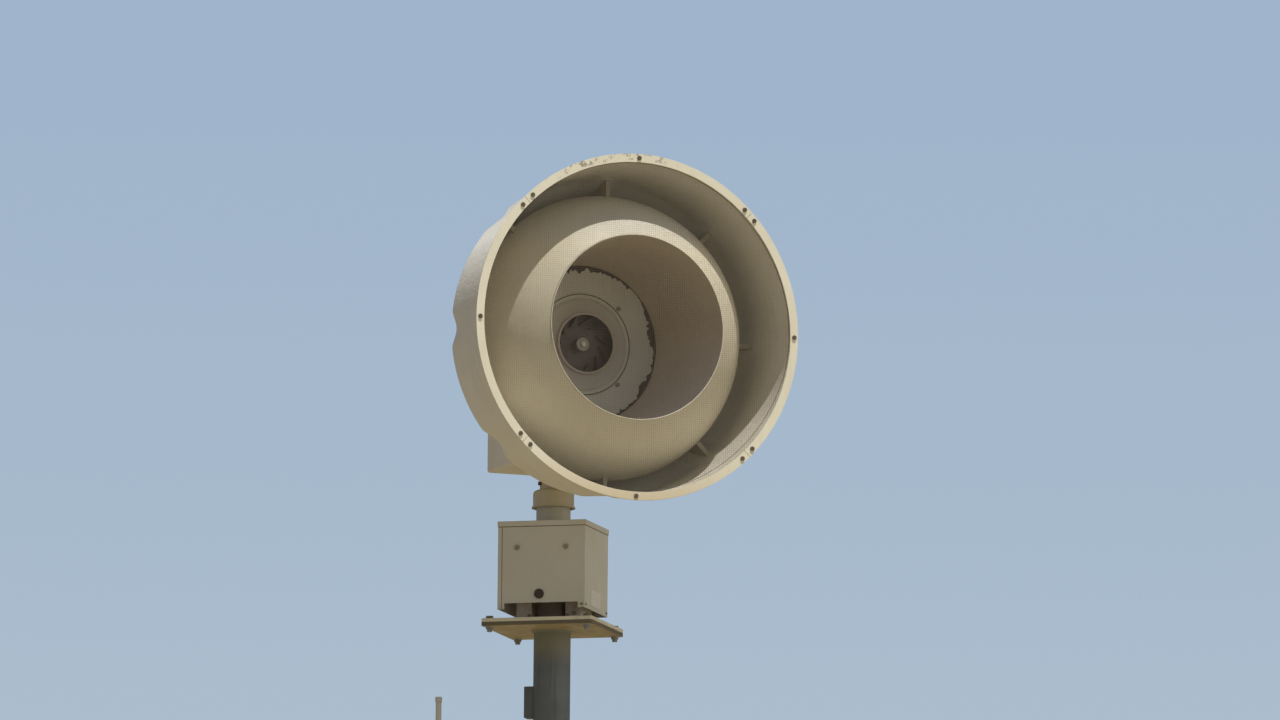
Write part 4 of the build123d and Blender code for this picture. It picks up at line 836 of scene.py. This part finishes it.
# %% Outer shell: flutes and lumps
FLUTE_STEP = radians(45)
FLUTE_CENTRE = (0.15558, 0.15725)
FLUTE_PATH = 0.431
FLUTE_BAR = 0.080
SHOULDER = 0.014
FLUTE_FADE = 0.055
FLUTE_REACH = 0.98
LUMP_HEIGHT = 0.0009
LUMP_SIZE = 24.0
LUMPS_FROM = 0.03


def smooth_less(first, second, width):
    """Smaller of two numbers, with a round change between them."""
    share = min(max(0.5 + 0.5 * (second - first) / width, 0.0), 1.0)
    return second + (first - second) * share - width * share * (1 - share)


def horn_place(point):
    """Depth, distance from the axis and angle from straight up, of a point on the horn."""
    aside, upward = point.x, point.z - HORN_Z
    return point.y - RIM_Y, hypot(aside, upward), atan2(-aside, upward)


def pressed(depth, out, turn, bar):
    """Where a point of the shell goes when the flutes are pressed in."""
    nearest = round(turn / FLUTE_STEP) * FLUTE_STEP
    level = out * cos(turn - nearest)
    aside = out * sin(turn - nearest)
    if depth < FLUTE_CENTRE[0] or abs(aside) > bar * FLUTE_REACH:
        return depth, level, aside, nearest
    arm = Vector((depth - FLUTE_CENTRE[0], level - FLUTE_CENTRE[1]))
    reach = arm.length - FLUTE_PATH
    down = smooth_less(reach, -sqrt(bar * bar - aside * aside), SHOULDER) - reach
    fade = min((depth - FLUTE_CENTRE[0]) / FLUTE_FADE, 1.0)
    arm *= 1 + down * fade / arm.length
    return FLUTE_CENTRE[0] + arm.x, FLUTE_CENTRE[1] + arm.y, aside, nearest


moved = 0
for vertex in shell.data.vertices:
    depth, out, turn = horn_place(vertex.co)
    skin_inset = WALL if vertex.groups else 0.0
    depth_new, level, aside, nearest = pressed(depth, out, turn, FLUTE_BAR + skin_inset)
    moved += depth_new != depth
    lump = 1.0
    if depth > LUMPS_FROM and not vertex.groups:
        lump -= LUMP_HEIGHT * (0.5 + 0.5 * noise.noise(vertex.co * LUMP_SIZE)) / out
    x = lump * (-level * sin(nearest) - aside * cos(nearest))
    z = lump * (level * cos(nearest) - aside * sin(nearest))
    vertex.co = (x, RIM_Y + depth_new, HORN_Z + z)
shell.vertex_groups.clear()
finish_turned(shell, shell_coat, "head", "outer_shell")
print("points moved by the flutes:", moved)

# %% [markdown]
# The inner fairing is a dome with a hole, which spreads the sound into the ring between it and the shell.
# Its front is one wide arc, its crest is round, and its back follows the shell's. The crest's arc has to
# touch both others, so its centre is where two smaller arcs cross.

# %% Inner fairing
FRONT = (0.3257, 0.0391)
FRONT_R = 0.4047
REAR_R = 0.281
CREST_R = 0.070
FAIRING_WALL = 0.006
NOSE = (0.0066, 0.2879)
TAIL = (0.4325, 0.2502)
NOSE_TRIM = 1.1
TAIL_TRIM = 0.3
PLATE_T = 0.005
PLATE_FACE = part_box("back_plate")[1].y - RIM_Y - PLATE_T


def crossing(centre_a, radius_a, centre_b, radius_b):
    """Outer crossing point of two circles in the half plane."""
    across = Vector(centre_b) - Vector(centre_a)
    along = (radius_a**2 - radius_b**2 + across.length_squared) / (2 * across.length)
    unit = across.normalized()
    aside = sqrt(radius_a**2 - along**2)
    return Vector(centre_a) + unit * along + Vector((-unit.y, unit.x)) * aside


def turn_to(centre, point):
    """Angle in degrees from straight out towards the rear, of a point seen from a centre."""
    return degrees(atan2(point[0] - centre[0], point[1] - centre[1]))


crest = crossing(BACK, REAR_R - CREST_R, FRONT, FRONT_R - CREST_R)
front_turn = turn_to(FRONT, crest)
rear_turn = turn_to(BACK, crest)
nose_turn = turn_to(FRONT, NOSE)
tail_turn = turn_to(BACK, TAIL)


def fairing_skin(inset, nose, tail):
    """Outline of one skin of the fairing, from its nose over the crest to its tail."""
    front = arc_points(FRONT, FRONT_R - inset, nose, front_turn, 44)
    over = arc_points(crest, CREST_R - inset, front_turn, rear_turn, 16)
    rear = arc_points(BACK, REAR_R - inset, rear_turn, tail, 22)
    return front + over[1:-1] + rear


outside = fairing_skin(0, nose_turn, tail_turn)
inside = fairing_skin(FAIRING_WALL, nose_turn + NOSE_TRIM, tail_turn - TAIL_TRIM)
dome = turned("inner_fairing_turned", outside + inside[::-1], SHELL_STEPS)
finish_turned(dome, dome_coat, "head", "inner_fairing", smooth=50)

# %% [markdown]
# The intake duct is a plain cone of fibreglass that narrows towards the rotor. Its front edge stands a few
# millimetres proud of the dome and was rubbed smooth, so a thin bead on it catches a line of light. In the
# photograph no sun falls on the duct's wall, so a light link keeps the sun's lamp off it, while the haze,
# the sky and the floor still light it.

# %% Intake duct
DUCT_FRONT = (0.003, 0.284)
DUCT_BACK = (PLATE_FACE, 0.245)
DUCT_WALL = 0.004
DUCT_LIP = DUCT_WALL / 2
lip = arc_points((DUCT_FRONT[0] + DUCT_LIP, DUCT_FRONT[1] + DUCT_LIP), DUCT_LIP, 180, 360, 6)
outer_start = (lip[-1][0], DUCT_FRONT[1] + DUCT_WALL)
outer_end = (DUCT_BACK[0], DUCT_BACK[1] + DUCT_WALL)
outer_run = line_points(outer_start, outer_end, 12)
inner_run = line_points(lip[0], DUCT_BACK, 12)
ends = [outer_end, DUCT_BACK]
duct = turned("intake_duct_turned", lip[1:-1] + outer_run + ends + inner_run[::-1], 320)
finish_turned(duct, duct_coat, "head", "intake_duct", smooth=60)

LIP_DEPTH = 0.0026
LIP_BEAD = 0.0010
bead = turned("duct_lip_bead", arc_points((LIP_DEPTH, DUCT_FRONT[1] + DUCT_LIP), LIP_BEAD, 0, 324, 9), 320)
finish_turned(bead, rim_coat, "head", smooth=60)

shaded = bpy.data.collections.new("out_of_the_sun")
shaded.objects.link(duct)
shaded.collection_objects[0].light_linking.link_state = "EXCLUDE"
sun.light_linking.receiver_collection = shaded

# %% [markdown]
# The plate at the back of the duct is spun aluminium. Two small beads stiffen it, and its middle is drawn
# forward into a cone that leads the air into the rotor.

# %% Back plate
CONE_FOOT = 0.150
CONE_TOP = (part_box("back_plate")[0].y - RIM_Y, 0.093)
PLATE_R = 0.252
SKIN = 0.002
bead_outer = arc_points((PLATE_FACE, 0.1595), 0.0022, 0, -180, 8)
bead_inner = arc_points((PLATE_FACE, 0.1535), 0.0016, 0, -180, 6)
front_face = [(PLATE_FACE, PLATE_R), (PLATE_FACE, 0.225), (PLATE_FACE, 0.200), (PLATE_FACE, 0.180)]
foot = arc_points((PLATE_FACE - 0.012, CONE_FOOT), 0.012, 90, 145, 5)
cone_front = line_points(foot[-1], (CONE_TOP[0], CONE_TOP[1] + SKIN), 6)[1:]
lip_edge = [(CONE_TOP[0], CONE_TOP[1] + SKIN), (CONE_TOP[0] + 0.0005, CONE_TOP[1] - SKIN)]
cone_back = line_points(lip_edge[-1], (PLATE_FACE + PLATE_T, CONE_FOOT - PLATE_T), 5)[1:]
back_face = [(PLATE_FACE + PLATE_T, CONE_FOOT - PLATE_T), (PLATE_FACE + PLATE_T, PLATE_R)]
outline = front_face + bead_outer + bead_inner + foot + cone_front + lip_edge + cone_back + back_face
plate = turned("back_plate_turned", outline, 256)
finish_turned(plate, cast_alloy, "head", "back_plate", smooth=40)

# %% [markdown]
# Where the duct meets its back plate, someone once sealed the joint by hand. The sealant has darkened and
# come away in places, so its inner edge is ragged. A thin dark wavy bead also runs round the shell's inside
# behind the screen, and lies further back towards the bottom. Both are rings whose points are moved by
# noise that depends on the angle round the axis.

# %% Old sealant
RAGGED_MIDDLE = 0.44
RAGGED = ((2.2, 0.8), (9.0, 0.6), (30.0, 0.4))


def ragged(turn, seed):
    """Unevenness between 0 and 1 at an angle round the axis."""
    spot = Vector((cos(turn), sin(turn), seed))
    total = RAGGED_MIDDLE
    for scale, weight in RAGGED:
        total += weight * noise.noise(spot * scale)
    return min(max(total, 0.0), 1.0)


PATCH_R = 0.2445
PATCH = ((0.0004, PATCH_R), (0.0030, 0.2440), (0.0032, 0.238), (0.0026, 0.232), (0.0004, 0.229))
PATCH_LEAST = 0.06
PATCH_MOST = 1.5
PATCH_POWER = 1.5
patch_ring = turned("duct_sealant", [(PLATE_FACE - rise, out) for rise, out in PATCH], 288)
for vertex in patch_ring.data.vertices:
    depth, out, turn = horn_place(vertex.co)
    inward = (PATCH_R - out) * (PATCH_LEAST + PATCH_MOST * ragged(turn, 3.0) ** PATCH_POWER)
    out = PATCH_R - inward
    vertex.co = (-out * sin(turn), RIM_Y + depth, HORN_Z + out * cos(turn))
finish_turned(patch_ring, old_sealant, "head")

SEAM_BEAD = 0.0013
SEAM_DEPTH = 0.006
SEAM_SAG = 0.085
SAG_POWER = 1.8
SEAM_WAVE = 0.007
seam_ring = turned("mouth_dark_bead", arc_points((0, mouth[1]), SEAM_BEAD, 0, 315, 7), 384)
for vertex in seam_ring.data.vertices:
    depth, out, turn = horn_place(vertex.co)
    back = SEAM_DEPTH + SEAM_SAG * max(0.0, -cos(turn)) ** SAG_POWER + SEAM_WAVE * ragged(turn, 8.0)
    out -= back * INNER_TAPER
    vertex.co = (-out * sin(turn), RIM_Y + depth + back, HORN_Z + out * cos(turn))
finish_turned(seam_ring, dark_wavy_bead, "head")

# %% [markdown]
# A fine wire screen keeps birds out of the whole mouth. It is clamped under the rim and rests on the duct's
# front edge, so it is drawn slightly forward there. Its wires are far too many for anything but the
# simplest shape, so one wire is a four-sided bar in eight lengths, copied across the mouth both ways.

# %% Bird screen
SCREEN_R = 0.5135
SCREEN_PITCH = 0.00635
WIRE = 0.00017
WIRE_LENGTHS = 8
SCREEN_D = 0.0043
SCREEN_LIFT = 0.0021


def screen_depth(out):
    """Depth of the screen behind the rim's front, at a distance from the axis."""
    share = min(max((SCREEN_R - out) / (SCREEN_R - DUCT_FRONT[1]), 0.0), 1.0)
    return SCREEN_D - SCREEN_LIFT * share


def wire_set(name, lift, upright):
    """One set of parallel wires across the mouth."""
    count = 2 * int(SCREEN_R / SCREEN_PITCH) + 1
    bpy.ops.object.select_all(action="DESELECT")
    bpy.ops.mesh.primitive_cube_add(size=2, scale=(1, WIRE, WIRE))
    piece = bpy.context.object
    piece.name = name
    bpy.ops.object.transform_apply(location=True, rotation=True, scale=True)
    bpy.ops.object.mode_set(mode="EDIT")
    for cut in range(1, WIRE_LENGTHS):
        bpy.ops.mesh.select_all(action="SELECT")
        bpy.ops.mesh.bisect(plane_co=(2 * cut / WIRE_LENGTHS - 1, 0, 0), plane_no=(1, 0, 0))
    bpy.ops.object.mode_set(mode="OBJECT")
    copies = piece.modifiers.new("wires", "ARRAY")
    copies.count = count
    copies.use_relative_offset = False
    copies.use_constant_offset = True
    copies.constant_offset_displace = (0, 0, SCREEN_PITCH)
    bpy.ops.object.modifier_apply(modifier=copies.name)
    for vertex in piece.data.vertices:
        share, across, rise = vertex.co
        step = round(rise / SCREEN_PITCH)
        away = (step - (count - 1) / 2) * SCREEN_PITCH
        along = share * sqrt(SCREEN_R**2 - away**2)
        away += rise - step * SCREEN_PITCH
        depth = screen_depth(hypot(along, away)) + across + lift
        x, z = (away, along) if upright else (along, away)
        vertex.co = (x, RIM_Y + depth, HORN_Z + z)
    finish_turned(piece, screen_wire, "head")


wire_set("screen_level_wires", -0.5 * WIRE, False)
wire_set("screen_upright_wires", 0.5 * WIRE, True)

# %% [markdown]
# The pole is welded up from three pipes, two cones and two plates. A fillet weld fills the corner between a
# pipe and a plate, and a butt weld stands a little proud between two pipes. Both are turned about the pole's
# axis, and a fine wave round them stands for the ripples that the welder leaves.

# %% Welds
RIPPLE = 0.0005
RIPPLES = 90
ROOT = 0.001
SEAM_HALF = [(0.002, 0.0022), (0.0045, 0.0006), (0.005, -ROOT)]
SEAM = [(-rise, out) for rise, out in SEAM_HALF[::-1]] + SEAM_HALF


def upright(name, outline, steps, centre=(0, 0, 0)):
    """Ring about an upright axis."""
    return turned(name, outline, steps, centre=centre, axis=(0, 0, 1), out_from=(1, 0, 0))


def weld(name, foot, radius, leg, up=1, finish=pole_coat):
    """Fillet weld in the corner of a pipe and a plate, above the plate or below it."""
    slope = [(0, leg), (0.25 * leg, 0.88 * leg), (0.62 * leg, 0.52 * leg), (leg, 0.1 * leg)]
    corner = [(0, -ROOT), *slope, (leg, -ROOT)]
    rippled(name, [(foot + up * rise, radius + out) for rise, out in corner], radius, finish)


def seam_weld(name, middle, radius):
    """Butt weld between two pipes of the pole."""
    rippled(name, [(middle + rise, radius + out) for rise, out in SEAM], radius, pole_coat)


def rippled(name, outline, radius, finish):
    """Ring round the pole with a welder's ripples."""
    piece = upright(name, outline, 144)
    for vertex in piece.data.vertices:
        out = hypot(vertex.co.x, vertex.co.y)
        if out > radius:
            swell = 1 + RIPPLE * sin(RIPPLES * atan2(vertex.co.y, vertex.co.x)) / out
            vertex.co.x *= swell
            vertex.co.y *= swell
    finish_turned(piece, finish, "mast", smooth=60)


LOWER_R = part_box("pole_lower")[1].x
MIDDLE_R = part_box("pole_middle")[1].x
FLANGE_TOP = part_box("base_flange")[1].z
POLE_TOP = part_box("pole_upper")[1].z
RISER_FOOT_R = 0.062
weld("base_weld", FLANGE_TOP, LOWER_R, 0.009)
weld("top_plate_weld", POLE_TOP, POLE_R, 0.007, up=-1)
weld("riser_foot_weld", DECK_Z, RISER_FOOT_R, 0.006, finish=plate_coat)
for reducer, foot_r, head_r in (("lower_reducer", LOWER_R, MIDDLE_R), ("upper_reducer", MIDDLE_R, POLE_R)):
    low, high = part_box(reducer)
    seam_weld(reducer + "_foot_weld", low.z, foot_r)
    seam_weld(reducer + "_head_weld", high.z, head_r)

# %% [markdown]
# Bolts need washers, and the pole stands on four anchor studs with a washer and a nut each. A washer is a
# flat ring, a nut is the same ring spun in only six steps with its corners cut, and a stud's outline is a
# row of teeth, which stand for the thread.

# %% Washers, anchor studs and nuts
CORNER_BOLT = 0.156
WASHER = (0.0083, 0.0165, 0.0022)
STUD_R = 0.015
STUD_TOP = FLANGE_TOP + 0.078
STUD_EDGE = 0.003
STUD_FOOT = 0.001
CORE = 0.0005
ANCHOR_CIRCLE_R = 0.280
ANCHOR = ANCHOR_CIRCLE_R / sqrt(2)
ANCHOR_WASHER = (STUD_R, 0.030, 0.005)
ANCHOR_NUT = (STUD_R, 0.0265, 0.024)
THREAD = 0.0035
THREAD_DEPTH = 0.0012
THREAD_POINTS = 43


def flat_ring(name, spot, inner_r, outer_r, thick, finish, steps=40, chamfer=0.0004):
    """Washer, or a nut when it has six steps, standing on a spot."""
    outline = [
        (0, inner_r), (0, outer_r - chamfer), (chamfer, outer_r), (thick - chamfer, outer_r),
        (thick, outer_r - chamfer), (thick, inner_r),
    ]
    finish_turned(upright(name, outline, steps, spot), finish, "mast")


turn = Matrix.Rotation(DECK_TURN, 3, "Z")
for number, (side, row) in enumerate(((-1, -1), (1, -1), (-1, 1), (1, 1))):
    corner = turn @ Vector((side * CORNER_BOLT, row * CORNER_BOLT, 0))
    top = corner + Vector((0, 0, DECK_Z))
    under = corner + Vector((0, 0, PLATES_UNDER - WASHER[2]))
    flat_ring(f"plate_washer_top_{number}", top, *WASHER, bolt_steel)
    flat_ring(f"plate_washer_under_{number}", under, *WASHER, zinc_steel)
    foot = Vector((side * ANCHOR, row * ANCHOR, FLANGE_TOP))
    nut_foot = foot + Vector((0, 0, ANCHOR_WASHER[2]))
    flat_ring(f"anchor_washer_{number}", foot, *ANCHOR_WASHER, zinc_steel)
    flat_ring(f"anchor_nut_{number}", nut_foot, *ANCHOR_NUT, zinc_steel, steps=6, chamfer=0.002)
    steps = range(THREAD_POINTS)
    teeth = [(FLANGE_TOP + THREAD * step / 2, STUD_R - THREAD_DEPTH * (step % 2)) for step in steps]
    stem = [(STUD_FOOT, CORE), (STUD_FOOT, STUD_R), *teeth, (STUD_TOP, STUD_R - STUD_EDGE), (STUD_TOP, CORE)]
    stud = upright(f"anchor_stud_{number}", stem, 32, (foot.x, foot.y, 0))
    finish_turned(stud, bolt_steel, "mast")

# %% [markdown]
# The box of the solids and the box of the finished model should be the same, since the looks are kept
# within the solids. Here the box of the finished model is worked out.

# %% Sizes
low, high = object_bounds()
